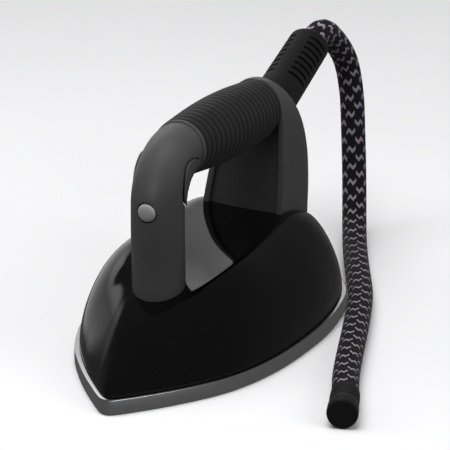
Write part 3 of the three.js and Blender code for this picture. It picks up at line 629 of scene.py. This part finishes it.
def column_body(name, wall, foot_drop=0.0):
    """The column's outside, drawn in by a wall thickness."""
    sections = curve_through(COLUMN_SECTIONS, 5)
    top = len(sections) - 1
    angles = 2 * math.pi * (np.arange(COLUMN_SIDES) + 0.5) / COLUMN_SIDES
    rings = []
    for level, (height, rear, half) in enumerate(sections):
        z = above(height) - (wall * (level / top) ** 3 if level else foot_drop)
        middle = back((COLUMN_FRONT + rear) / 2)
        depth = (rear - COLUMN_FRONT) / 2 - wall
        power = np.where(np.sin(angles) > 0, SECTION_BACK, SECTION_FRONT)
        x = np.sign(np.cos(angles)) * abs(np.cos(angles)) ** SECTION_SIDE * max(half - wall, 1)
        y = middle + np.sign(np.sin(angles)) * abs(np.sin(angles)) ** power * depth
        x *= np.maximum(0.2, 1 - flare_at(height) * (back(rear) - y) / max(half, 10))
        rings.append(np.stack([x, y, np.full(COLUMN_SIDES, z)], axis=1))
    return loft(name, rings, 50)


def cover_block(name, gap):
    half = COVER_HALF - gap
    low = (-half, back(202), above(COVER_LOW) + gap)
    return block(name, low, (half, back(242), above(COVER_HIGH) - gap))


def core_cut(name):
    """Opening for the handle core in the column's front; it ends just past the core."""
    radius, length = CORE_RADIUS + 0.2, CORE_LENGTH + 1.5
    profile = [(0, 0), (radius, 0), (radius, length), (0, length)]
    return along_grip(turned(name, profile))


def shell_cut(name):
    """The body shell's outside as a solid, for trimming what stands on it."""
    rings = np.array(shell_rings(0, [i / 20 for i in range(21)], [0.05, 0.2, 0.4, 0.6, 0.8, 1]))
    levels, count = rings.shape[:2]
    faces = [list(face) for face in ring_faces(levels, count)] + [list(range(count))[::-1]]
    return make_object(name, rings.reshape(-1, 3), faces, 60)


def column_casing():
    front = front_block("front", 0, 200)
    casing = carved(column_body("column_casing_shell", 0), ("INTERSECT", front), angle=50)
    bevel(casing, COLUMN_ROUNDING, 5, 50)
    casing = carved(
        casing,
        ("DIFFERENCE", column_body("inside", COLUMN_WALL + 0.9, 6)),
        ("DIFFERENCE", cover_block("cover_cut", 0)),
        ("DIFFERENCE", boot_body("boot_cut", 0.15)),
        ("DIFFERENCE", core_cut("core_cut")),
        ("DIFFERENCE", shell_cut("shell_cut")),
        angle=50,
    )
    return bevel(casing, 0.25, 2, 50)


def rear_cover():
    cover = carved(cover_block("rear_cover_plate", 0.25),
                   ("INTERSECT", column_body("outside", 0)),
                   ("DIFFERENCE", column_body("inside", COLUMN_WALL, 6)))
    recess = turned("recess", [(0, -12), (3.1, -12), (3.1, 9), (0, 9)])
    move(recess, 0, point(*COVER_SCREW))
    cover = carved(cover, ("DIFFERENCE", recess))
    return bevel(cover, 0.3, 3)


def cover_screw():
    """Flat-headed screw with a crossed recess."""
    profile = rounded([(0, -9), (1.5, -9), (1.5, -1.6), (2.8, -1.2), (2.8, -0.2), (2.2, 0), (0, 0)], 0.2, 2)
    head = turned("cover_screw_body", profile, 48)
    slots = [block("slot", (-1.7, -1.1, -0.3), (1.7, 1, 0.3)),
             block("slot", (-0.3, -1.1, -1.7), (0.3, 1, 1.7))]
    head = carved(head, *[("DIFFERENCE", slot) for slot in slots])
    return move(head, 0, point(*COVER_SCREW))


# ---- Cord boot ----
BOOT_RADIUS = 12
BOOT_OVAL = 1.08
BOOT_ROOT = point(0, 202, 95.6)
BOOT_TIP = point(0, 262.5, 118.6)
BOOT_LENGTH = float(np.linalg.norm(BOOT_TIP - BOOT_ROOT))
BOOT_TILT = math.degrees(math.atan2(BOOT_TIP[2] - BOOT_ROOT[2], BOOT_TIP[1] - BOOT_ROOT[1]))
BOOT_TAPER = 0.06
BOOT_FILLET = 2.6
SLOT_COUNT = 8
SLOT_FROM = 23.6
SLOT_PITCH = 4.75
SLOT_WIDTH = 2.1
SLOT_LOW = 2
SLOT_HIGH = 68
SLOT_DEPTH = 2.6
CORD_RADIUS = 7.3


def boot_radius(along):
    into = max(0, BOOT_FILLET - BOOT_LENGTH * (1 - along))
    return BOOT_RADIUS * (1 - BOOT_TAPER * along) - BOOT_FILLET + math.sqrt(BOOT_FILLET**2 - into**2)


def boot_profile(grow):
    places = [i / 40 * 0.955 for i in range(40)]
    places += [0.955 + 0.045 * math.sin(i * math.pi / 24) for i in range(13)]
    return [(boot_radius(place) + grow, BOOT_LENGTH * place) for place in places]


def along_boot(obj):
    return move(obj, BOOT_TILT, BOOT_ROOT)


def boot_body(name, grow):
    profile = [(0, 0)] + boot_profile(grow) + [(0, BOOT_LENGTH)]
    body = turned(name, profile, 96, 50)
    body.data.transform(Matrix.Scale(BOOT_OVAL, 4, (1, 0, 0)))
    return along_boot(body)


def cord_boot():
    boot = boot_body("cord_boot_rubber", 0)
    tools = []
    for i in range(SLOT_COUNT):
        for side in (-1, 1):
            tools.append(boot_slot(side, SLOT_FROM + i * SLOT_PITCH))
    bore = turned("cord_bore", [(0, -5), (CORD_RADIUS + 0.5, -5), (CORD_RADIUS + 0.5, 90), (0, 90)])
    boot = carved(boot, ("DIFFERENCE", joined(tools)), ("DIFFERENCE", along_boot(bore)), angle=50)
    return bevel(boot, 0.28, 2, 50)


def boot_slot(side, along):
    """Curved slit that follows the boot's skin on one side."""
    outer = BOOT_RADIUS * BOOT_OVAL + 2
    inner = BOOT_RADIUS * BOOT_OVAL - SLOT_DEPTH
    steps = 12
    rings = []
    for i in range(steps + 1):
        angle = math.radians(mix(SLOT_LOW, SLOT_HIGH, i / steps))
        width = SLOT_WIDTH / 2 * (1 - 0.35 * abs(2 * i / steps - 1) ** 4)
        ring = []
        for radius, shift in ((inner, -width), (outer, -width), (outer, width), (inner, width)):
            ring.append((side * radius * math.cos(angle), along + shift, radius * math.sin(angle)))
        rings.append(ring)
    return along_boot(loft("slot", rings))


# ---- Braided cord ----
CORD_PATH = [
    (0, 198.8, 94.4), (0, 230, 106.2), (0, 262.5, 118.6), (0.6, 279, 120.6), (2, 293.5, 112),
    (5, 306.5, 96), (9, 308, 77), (14, 302, 50), (19, 294, 24), (25.5, 280, 5.4), (35, 258, -0.9),
    (48.5, 228, -1.2), (64.5, 193, -1.4), (76, 160, -1.4), (98, 90, -1.3), (109.5, 60, -0.6),
    (115, 43, -0.6),
]
BRAID_FROM = 56  # before this place the cord is plain, as it is hidden in the boot
BRAID_COLUMNS = 24
COLUMN_POINTS = 3
STITCH = 1.75
STITCH_RINGS = 3
STITCH_SLANT = 1.3
YARN_RELIEF = 0.32
FLECK_ROWS = 6  # stitches between one fleck and the next along the cord
FLECK_COLUMNS = 3
FLECK_BANDS = 4  # bands of faces in a fleck, a little more than one stitch


def cord_braid():
    """A tube whose rings run in zigzags, so that each stitch of the braid is a raised slanting cell."""
    path = curve_through([point(*p) for p in CORD_PATH], 16)
    length = path_length(path)
    hidden = np.arange(0, BRAID_FROM, 4.0)
    step = STITCH / STITCH_RINGS
    shown = np.arange(BRAID_FROM, length, step)
    places = np.concatenate([hidden, shown])
    centres = resampled(path, places)
    across, sideways = path_frames(centres)
    sides = BRAID_COLUMNS * COLUMN_POINTS
    index = np.arange(sides)
    angles = index * 2 * math.pi / sides
    column_phase = index / COLUMN_POINTS
    zigzag = np.abs((column_phase % 2) - 1) * STITCH_SLANT * STITCH
    column_bump = np.abs(np.sin(math.pi * column_phase)) ** 0.7
    rings = []
    for number, place in enumerate(places):
        plain = place < BRAID_FROM
        row = number - len(hidden)
        ridge = 1.0 if row % STITCH_RINGS else 0.0
        stitch_bump = 0.65 * ridge * (0.55 + 0.45 * column_bump)
        relief = 0 if plain else YARN_RELIEF * (0.35 * column_bump + stitch_bump)
        radius = CORD_RADIUS - 0.4 if plain else CORD_RADIUS - YARN_RELIEF + relief
        shift = 0 if plain else zigzag - zigzag.mean()
        shift = np.clip(place + shift, 0, length) - place
        ring = centres[number] + np.cos(angles)[:, None] * across[number] * np.reshape(radius, (-1, 1))
        ring = ring + np.sin(angles)[:, None] * sideways[number] * np.reshape(radius, (-1, 1))
        here = np.broadcast_to(np.reshape(shift, (-1, 1)), (sides, 1))
        direction = np.cross(across[number], sideways[number])
        rings.append(ring + here * direction)
    rings = np.array(rings)
    cord = loft("cord_braid", rings, 180)
    paint_flecks(cord, len(hidden), len(places), sides)
    return cord


def paint_flecks(cord, first_ring, ring_count, sides):
    """Marks the faces of the lighter stitches, and gives each face its yarn coordinates."""
    mesh = cord.data
    fleck = np.zeros(len(mesh.polygons), np.float32)
    bands = ring_count - 1
    band, side = np.divmod(np.arange(bands * sides), sides)
    column = side // COLUMN_POINTS
    group = column // FLECK_COLUMNS
    turn = np.where(group % 2 == 0, 0, FLECK_ROWS // 2)
    phase = (band - first_ring + turn * STITCH_RINGS) % (FLECK_ROWS * STITCH_RINGS)
    marked = (phase < FLECK_BANDS) & (band >= first_ring)
    fleck[: bands * sides] = marked
    mesh.attributes.new("fleck", "FLOAT", "FACE").data.foreach_set("value", fleck)
    uv = mesh.uv_layers.new(name="yarn")
    values = np.zeros((len(mesh.loops), 2), np.float32)
    corner_side = np.array([0, 1, 1, 0])
    corner_band = np.array([0, 0, 1, 1])
    for face in mesh.polygons[: bands * sides]:
        b, s = divmod(face.index, sides)
        for k, loop in enumerate(face.loop_indices):
            values[loop] = ((s + corner_side[k]) / COLUMN_POINTS, (b + corner_band[k]) / STITCH_RINGS)
    uv.data.foreach_set("uv", values.ravel())


SLEEVE_RADIUS = 8.3
SLEEVE_LENGTH = 22


def cord_end_sleeve():
    path = curve_through([point(*p) for p in CORD_PATH], 16)
    length = path_length(path)
    start, end = resampled(path, [length - SLEEVE_LENGTH, length])
    direction = Vector(end - start).normalized()
    neck, waist, edge = SLEEVE_RADIUS - 0.5, SLEEVE_RADIUS - 0.65, SLEEVE_RADIUS - 0.3
    profile = [(CORD_RADIUS + 0.2, 0), (neck, 0)]
    for i in range(4):
        profile += [(neck, 3 + 3 * i), (waist, 3.6 + 3 * i), (waist, 4.4 + 3 * i), (edge, 5 + 3 * i)]
    profile += [(SLEEVE_RADIUS, 17), (SLEEVE_RADIUS, 22.5), (SLEEVE_RADIUS - 0.4, 24), (0, 24), (0, 22.5),
                (CORD_RADIUS + 0.2, 22.5)]
    profile = rounded(profile, 0.35, 3)
    sleeve = turned("cord_end_cap", list(profile) + [profile[0]])
    turn = direction.to_track_quat("Y", "Z").to_matrix().to_4x4()
    sleeve.data.transform(Matrix.Translation(Vector(start) * MM) @ turn)
    return sleeve


# ---- Materials ----
def new_material(name):
    material = bpy.data.materials.new(name)
    material.use_nodes = True
    nodes = material.node_tree.nodes
    return material, nodes, material.node_tree.links, nodes["Principled BSDF"]


def texture_place(nodes, links, scale=(1, 1, 1)):
    """Object coordinates, stretched."""
    place = nodes.new("ShaderNodeTexCoord")
    mapping = nodes.new("ShaderNodeMapping")
    mapping.inputs["Scale"].default_value = scale
    links.new(place.outputs["Object"], mapping.inputs["Vector"])
    return mapping.outputs["Vector"]


def noise(nodes, links, vector, scale, detail=3.0):
    texture = nodes.new("ShaderNodeTexNoise")
    texture.inputs["Scale"].default_value = scale
    texture.inputs["Detail"].default_value = detail
    links.new(vector, texture.inputs["Vector"])
    return texture.outputs["Fac"]


def ramp(nodes, links, value, low, high, first=(0, 0, 0), last=(1, 1, 1)):
    """Colours between two values."""
    made = nodes.new("ShaderNodeValToRGB")
    made.color_ramp.elements[0].position = low
    made.color_ramp.elements[1].position = high
    made.color_ramp.elements[0].color = (*first, 1)
    made.color_ramp.elements[1].color = (*last, 1)
    links.new(value, made.inputs["Fac"])
    return made.outputs["Color"]


def to_range(nodes, links, value, low, high, from_low=0.0, from_high=1.0):
    made = nodes.new("ShaderNodeMapRange")
    made.inputs["From Min"].default_value = from_low
    made.inputs["From Max"].default_value = from_high
    made.inputs["To Min"].default_value = low
    made.inputs["To Max"].default_value = high
    links.new(value, made.inputs["Value"])
    return made.outputs["Result"]


def bump(nodes, links, height, strength, distance):
    made = nodes.new("ShaderNodeBump")
    made.inputs["Strength"].default_value = strength
    made.inputs["Distance"].default_value = distance
    links.new(height, made.inputs["Height"])
    return made.outputs["Normal"]


def tinted(color, factor):
    return tuple(c * factor for c in color)


def plastic(name, color, roughness, grain, grain_depth, spread=0.12, rough_spread=0.08, sheen=0.0):
    """Moulded plastic or rubber: fine grain, a cloudy tone and uneven gloss."""
    material, nodes, links, shader = new_material(name)
    place = texture_place(nodes, links)
    cloud = noise(nodes, links, place, 55, 5)
    shade = ramp(nodes, links, cloud, 0.3, 0.7, tinted(color, 1 - spread), tinted(color, 1 + spread))
    links.new(shade, shader.inputs["Base Color"])
    fine = noise(nodes, links, place, grain, 2)
    gloss = to_range(nodes, links, cloud, roughness - rough_spread, roughness + rough_spread, 0.3, 0.7)
    links.new(gloss, shader.inputs["Roughness"])
    links.new(bump(nodes, links, fine, 0.35, grain_depth), shader.inputs["Normal"])
    shader.inputs["Sheen Weight"].default_value = sheen
    return material


def gloss_shell():
    """Polished black plastic with a faint moulding ripple and light wipe marks."""
    material, nodes, links, shader = new_material("gloss_black_shell")
    place = texture_place(nodes, links)
    cloud = noise(nodes, links, place, 18, 4)
    wipe = noise(nodes, links, texture_place(nodes, links, (40, 6, 30)), 3, 6)
    shade = ramp(nodes, links, cloud, 0.3, 0.7, (0.001, 0.001, 0.0011), (0.0018, 0.0018, 0.0019))
    links.new(shade, shader.inputs["Base Color"])
    links.new(to_range(nodes, links, wipe, 0.05, 0.1, 0.4, 0.75), shader.inputs["Roughness"])
    links.new(bump(nodes, links, cloud, 0.04, 0.0006), shader.inputs["Normal"])
    return material


def metal(name, color, roughness, stretch, rough_spread=0.08):
    """Satin metal with a brushed grain that runs along one axis."""
    material, nodes, links, shader = new_material(name)
    grain = noise(nodes, links, texture_place(nodes, links, stretch), 60, 6)
    cloud = noise(nodes, links, texture_place(nodes, links), 30, 3)
    shade = ramp(nodes, links, cloud, 0.3, 0.7, tinted(color, 0.9), tinted(color, 1.05))
    links.new(shade, shader.inputs["Base Color"])
    shader.inputs["Metallic"].default_value = 1
    links.new(to_range(nodes, links, grain, roughness - rough_spread, roughness + rough_spread, 0.3, 0.7),
              shader.inputs["Roughness"])
    links.new(bump(nodes, links, grain, 0.15, 0.00008), shader.inputs["Normal"])
    return material


def sole_metal():
    """Aluminium soleplate: satin side band, polished upper edge and ironing face."""
    material, nodes, links, shader = new_material("sole_aluminium")
    grain = noise(nodes, links, texture_place(nodes, links, (1, 1, 60)), 60, 3)
    scratches = noise(nodes, links, texture_place(nodes, links, (50, 1.5, 1)), 40, 4)
    place = nodes.new("ShaderNodeNewGeometry")
    split = nodes.new("ShaderNodeSeparateXYZ")
    links.new(place.outputs["Normal"], split.inputs["Vector"])
    upward = nodes.new("ShaderNodeMath")
    upward.operation = "ABSOLUTE"
    links.new(split.outputs["Z"], upward.inputs[0])
    flatness = to_range(nodes, links, upward.outputs[0], 0, 1, 0.25, 0.7)
    satin = to_range(nodes, links, grain, 0.3, 0.38, 0.3, 0.7)
    polished = to_range(nodes, links, scratches, 0.1, 0.24, 0.35, 0.7)
    blend = nodes.new("ShaderNodeMix")
    links.new(flatness, blend.inputs["Factor"])
    links.new(satin, blend.inputs["A"])
    links.new(polished, blend.inputs["B"])
    links.new(blend.outputs["Result"], shader.inputs["Roughness"])
    shade = ramp(nodes, links, grain, 0.3, 0.7, (0.62, 0.625, 0.64), (0.69, 0.695, 0.71))
    links.new(shade, shader.inputs["Base Color"])
    shader.inputs["Metallic"].default_value = 1
    links.new(bump(nodes, links, grain, 0.05, 0.00004), shader.inputs["Normal"])
    return material


def braid():
    """Twisted yarns: black with lilac-grey stitches, fine fibres along each stitch."""
    material, nodes, links, shader = new_material("cord_braid")
    mark = nodes.new("ShaderNodeAttribute")
    mark.attribute_name = "fleck"
    yarn = nodes.new("ShaderNodeUVMap")
    yarn.uv_map = "yarn"
    stretch = nodes.new("ShaderNodeMapping")
    stretch.inputs["Scale"].default_value = (0.6, 7, 1)
    links.new(yarn.outputs["UV"], stretch.inputs["Vector"])
    fibres = noise(nodes, links, stretch.outputs["Vector"], 1.4, 3)
    dark = ramp(nodes, links, fibres, 0.3, 0.75, (0.004, 0.0038, 0.0045), (0.012, 0.0115, 0.013))
    light = ramp(nodes, links, fibres, 0.3, 0.75, (0.2, 0.165, 0.215), (0.3, 0.25, 0.325))
    blend = nodes.new("ShaderNodeMix")
    blend.data_type = "RGBA"
    links.new(mark.outputs["Fac"], blend.inputs["Factor"])
    links.new(dark, blend.inputs[6])
    links.new(light, blend.inputs[7])
    links.new(blend.outputs[2], shader.inputs["Base Color"])
    shader.inputs["Roughness"].default_value = 0.85
    shader.inputs["Sheen Weight"].default_value = 0.08
    shader.inputs["Sheen Roughness"].default_value = 0.4
    links.new(bump(nodes, links, fibres, 0.5, 0.00025), shader.inputs["Normal"])
    return material


LOOKS = {
    "sole": sole_metal(),
    "shell": gloss_shell(),
    "charcoal": plastic("charcoal_satin", (0.06, 0.06, 0.061), 0.4, 2600, 0.00006, 0.06, 0.05),
    "panel": plastic("panel_matt", (0.04, 0.04, 0.0406), 0.5, 2200, 0.00008, 0.08),
    "collar": plastic("collar_grey", (0.075, 0.075, 0.077), 0.3, 1500, 0.00003, 0.05),
    "button": plastic("button_gloss", (0.34, 0.34, 0.345), 0.14, 600, 0.00002, 0.1, 0.04),
    "inner": plastic("inner_plastic", (0.02, 0.02, 0.021), 0.55, 1800, 0.0001, 0.1),
    "grip": plastic("grip_rubber", (0.011, 0.011, 0.0113), 0.6, 3200, 0.00012, 0.15, 0.08, 0.06),
    "boot": plastic("boot_rubber", (0.0055, 0.0055, 0.0057), 0.7, 2800, 0.0001, 0.15, 0.08, 0.05),
    "seal": plastic("seal_silicone", (0.35, 0.09, 0.05), 0.6, 1200, 0.0001),
    "tube": plastic("tube_silicone", (0.42, 0.4, 0.37), 0.45, 900, 0.00008),
    "red": plastic("wire_red", (0.32, 0.02, 0.02), 0.5, 1500, 0.00006),
    "green": plastic("wire_green", (0.05, 0.25, 0.04), 0.5, 1500, 0.00006),
    "blue": plastic("wire_blue", (0.03, 0.07, 0.32), 0.5, 1500, 0.00006),
    "steel": metal("satin_steel", (0.42, 0.42, 0.43), 0.32, (1, 25, 1)),
    "brass": metal("turned_brass", (0.6, 0.42, 0.17), 0.28, (1, 1, 25)),
    "braid": braid(),
}


# ---- Putting it together ----
# Rebuilt piece, the CAD node it stands for, the body it rides on, its look and its material slot.
PIECES = [
    (soleplate, "soleplate", "iron", "sole", "sole_alloy"),
    (body_shell, "body_shell", "iron", "shell", "shell_gloss"),
    (handle_post, "handle_post", "iron", "charcoal", "handle_satin"),
    (steam_trigger, "steam_trigger", "trigger", "charcoal", "handle_satin"),
    (front_button, "front_button", "button", "button", "button_silver"),
    (collar_ring, "collar_ring", "iron", "collar", "collar_grey"),
    (grip_sleeve, "grip_sleeve", "iron", "grip", "grip_rubber"),
    (column_casing, "column_casing", "iron", "charcoal", "handle_satin"),
    (rear_cover, "rear_cover", "iron", "charcoal", "handle_satin"),
    (cover_screw, "cover_screw", "iron", "steel", "plate_steel"),
    (cord_boot, "cord_boot", "iron", "boot", "boot_rubber"),
    (cord_braid, "cord", "iron", "braid", "cord_braid"),
    (cord_end_sleeve, "cord_end_sleeve", "iron", "boot", "boot_rubber"),
]

NODE_LOOKS = {
    "column_front_panel": "panel",
    "chamber_gasket": "seal",
    "steam_tube": "tube",
    "steam_inlet_fitting": "brass",
    "wire_live": "red",
    "wire_earth": "green",
    "wire_neutral": "blue",
    "control_wire": "blue",
}
STEEL_NODES = ("steam_chamber_lid", "lid_screw", "heating_element", "thermostat", "thermal_fuse",
               "trigger_pin", "trigger_spring", "switch_plunger")


def node_look(name):
    if name in NODE_LOOKS:
        return NODE_LOOKS[name]
    return "steel" if name.startswith(STEEL_NODES) else "inner"


pieces = {}
for build, node, body, look, slot in PIECES:
    piece = pieces[node] = build()
    piece.data.materials.clear()
    piece.data.materials.append(LOOKS[look])
    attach(piece, body)
    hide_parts(node)

# The polished shell and sole don't mirror the cord.
for name in ("cord", "cord_end_sleeve"):
    pieces[name].visible_glossy = False

for name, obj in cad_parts.items():
    if not obj.hide_render:
        obj.data.materials.clear()
        obj.data.materials.append(LOOKS[node_look(name)])


# ---- Stage, lights and camera ----
VIEW_PLACE = Vector((0.5814, -1.2744, 0.6258))
VIEW_DOWN = 26.0
VIEW_SIDE = 27.5
VIEW_AIM = Vector((0, 0.0332, 0.0542))
LENS = 222
FLOOR_SIZE = 6


def floor():
    size = FLOOR_SIZE / 2
    mesh = bpy.data.meshes.new("floor")
    corners = [(-size, -size, 0), (size, -size, 0), (size, size, 0), (-size, size, 0)]
    mesh.from_pydata(corners, [], [(0, 1, 2, 3)])
    plane = bpy.data.objects.new("floor", mesh)
    bpy.context.scene.collection.objects.link(plane)
    material, nodes, links, shader = new_material("floor_pale")
    cloud = noise(nodes, links, texture_place(nodes, links), 3, 4)
    shade = ramp(nodes, links, cloud, 0.3, 0.7, (0.78, 0.78, 0.79), (0.82, 0.82, 0.83))
    links.new(shade, shader.inputs["Base Color"])
    shader.inputs["Roughness"].default_value = 0.9
    mesh.materials.append(material)
    plane.visible_glossy = False
    plane.visible_diffuse = False
    return plane


def softbox(name, place, aim, size, power, glossy=False, only=()):
    """A large rectangular lamp that looks at a point; it can be kept to some of the pieces."""
    lamp = bpy.data.lights.new(name, "AREA")
    lamp.shape = "RECTANGLE"
    lamp.size, lamp.size_y = size
    lamp.energy = power
    obj = bpy.data.objects.new(name, lamp)
    bpy.context.scene.collection.objects.link(obj)
    obj.location = place
    obj.rotation_euler = (Vector(aim) - Vector(place)).to_track_quat("-Z", "Y").to_euler()
    obj.visible_camera = False
    obj.visible_glossy = glossy
    if only:
        group = bpy.data.collections.new(name + "_pieces")
        for piece in only:
            group.objects.link(pieces[piece])
        obj.light_linking.receiver_collection = group
    return obj


BRIGHT_SIDE = (-0.68, 0.68, 0.27)
BRIGHT_EDGE = (0.825, 0.845)
GLOW_SIDE = (-0.61, 0.35, 0.71)
GLOW_EDGE = (0.87, 0.96)
FILL_LIGHT = 0.18
DARK_SIDE = 0.1
LIGHT_SIDE = 0.52
GLOW = 0.8


def studio_world():
    """White behind, a soft fill for matt surfaces, and a bright patch at the rear left for mirrors."""
    world = bpy.data.worlds.new("studio")
    bpy.context.scene.world = world
    world.use_nodes = True
    nodes, links = world.node_tree.nodes, world.node_tree.links
    place = nodes.new("ShaderNodeTexCoord")

    def towards(side, edge, strength=1.0):
        """A value that rises from nothing where a ray points to one side."""
        facing = nodes.new("ShaderNodeVectorMath")
        facing.operation = "DOT_PRODUCT"
        facing.inputs[1].default_value = side
        links.new(place.outputs["Generated"], facing.inputs[0])
        return to_range(nodes, links, facing.outputs["Value"], 0, strength, *edge)

    def combined(operation, first, second):
        made = nodes.new("ShaderNodeMath")
        made.operation = operation
        for value, socket in ((first, made.inputs[0]), (second, made.inputs[1])):
            if isinstance(value, float):
                socket.default_value = value
            else:
                links.new(value, socket)
        return made.outputs["Value"]

    light = combined("ADD", towards(GLOW_SIDE, GLOW_EDGE, GLOW), LIGHT_SIDE)
    patch = combined("MULTIPLY", towards(BRIGHT_SIDE, BRIGHT_EDGE), light)
    mirrored = combined("ADD", patch, DARK_SIDE)
    path = nodes.new("ShaderNodeLightPath")
    glossy = nodes.new("ShaderNodeMix")
    links.new(path.outputs["Is Glossy Ray"], glossy.inputs["Factor"])
    glossy.inputs["A"].default_value = FILL_LIGHT
    links.new(mirrored, glossy.inputs["B"])
    seen = nodes.new("ShaderNodeMix")
    links.new(path.outputs["Is Camera Ray"], seen.inputs["Factor"])
    links.new(glossy.outputs["Result"], seen.inputs["A"])
    seen.inputs["B"].default_value = 1
    links.new(seen.outputs["Result"], nodes["Background"].inputs["Strength"])
    nodes["Background"].inputs["Color"].default_value = (1, 1, 1, 1)


def camera():
    """Stands where the reference view was taken, turned straight to the middle of the iron."""
    down, side = math.radians(VIEW_DOWN), math.radians(VIEW_SIDE)
    forward = Vector((-math.sin(side) * math.cos(down), math.cos(side) * math.cos(down), -math.sin(down)))
    aim = (VIEW_AIM - VIEW_PLACE).normalized()
    turn = forward.rotation_difference(aim) @ forward.to_track_quat("-Z", "Y")
    data = bpy.data.cameras.new("camera")
    data.lens = LENS
    data.clip_start, data.clip_end = 0.1, 20
    obj = bpy.data.objects.new("camera", data)
    bpy.context.scene.collection.objects.link(obj)
    obj.location = VIEW_PLACE
    obj.rotation_mode = "QUATERNION"
    obj.rotation_quaternion = turn
    bpy.context.scene.camera = obj


floor()
studio_world()
centre = (cad_low + cad_high) / 2
softbox("overhead", (-0.1, -0.25, 1.5), centre, (1.3, 1.3), 26)
softbox("left_side", (-1.3, -0.6, 0.9), centre, (0.8, 0.8), 4)
softbox("right_side", (1.4, 0.0, 1.0), centre, (0.9, 0.9), 7)
softbox("handle_front", (0, -1.5, 0.55), centre, (0.7, 0.7), 2.4, True, ("handle_post", "steam_trigger"))
softbox("sole_right", (1.2, -0.9, 0.35), centre, (0.9, 0.4), 3, True, ("soleplate",))
camera()

bpy.context.scene.view_settings.view_transform = "Standard"
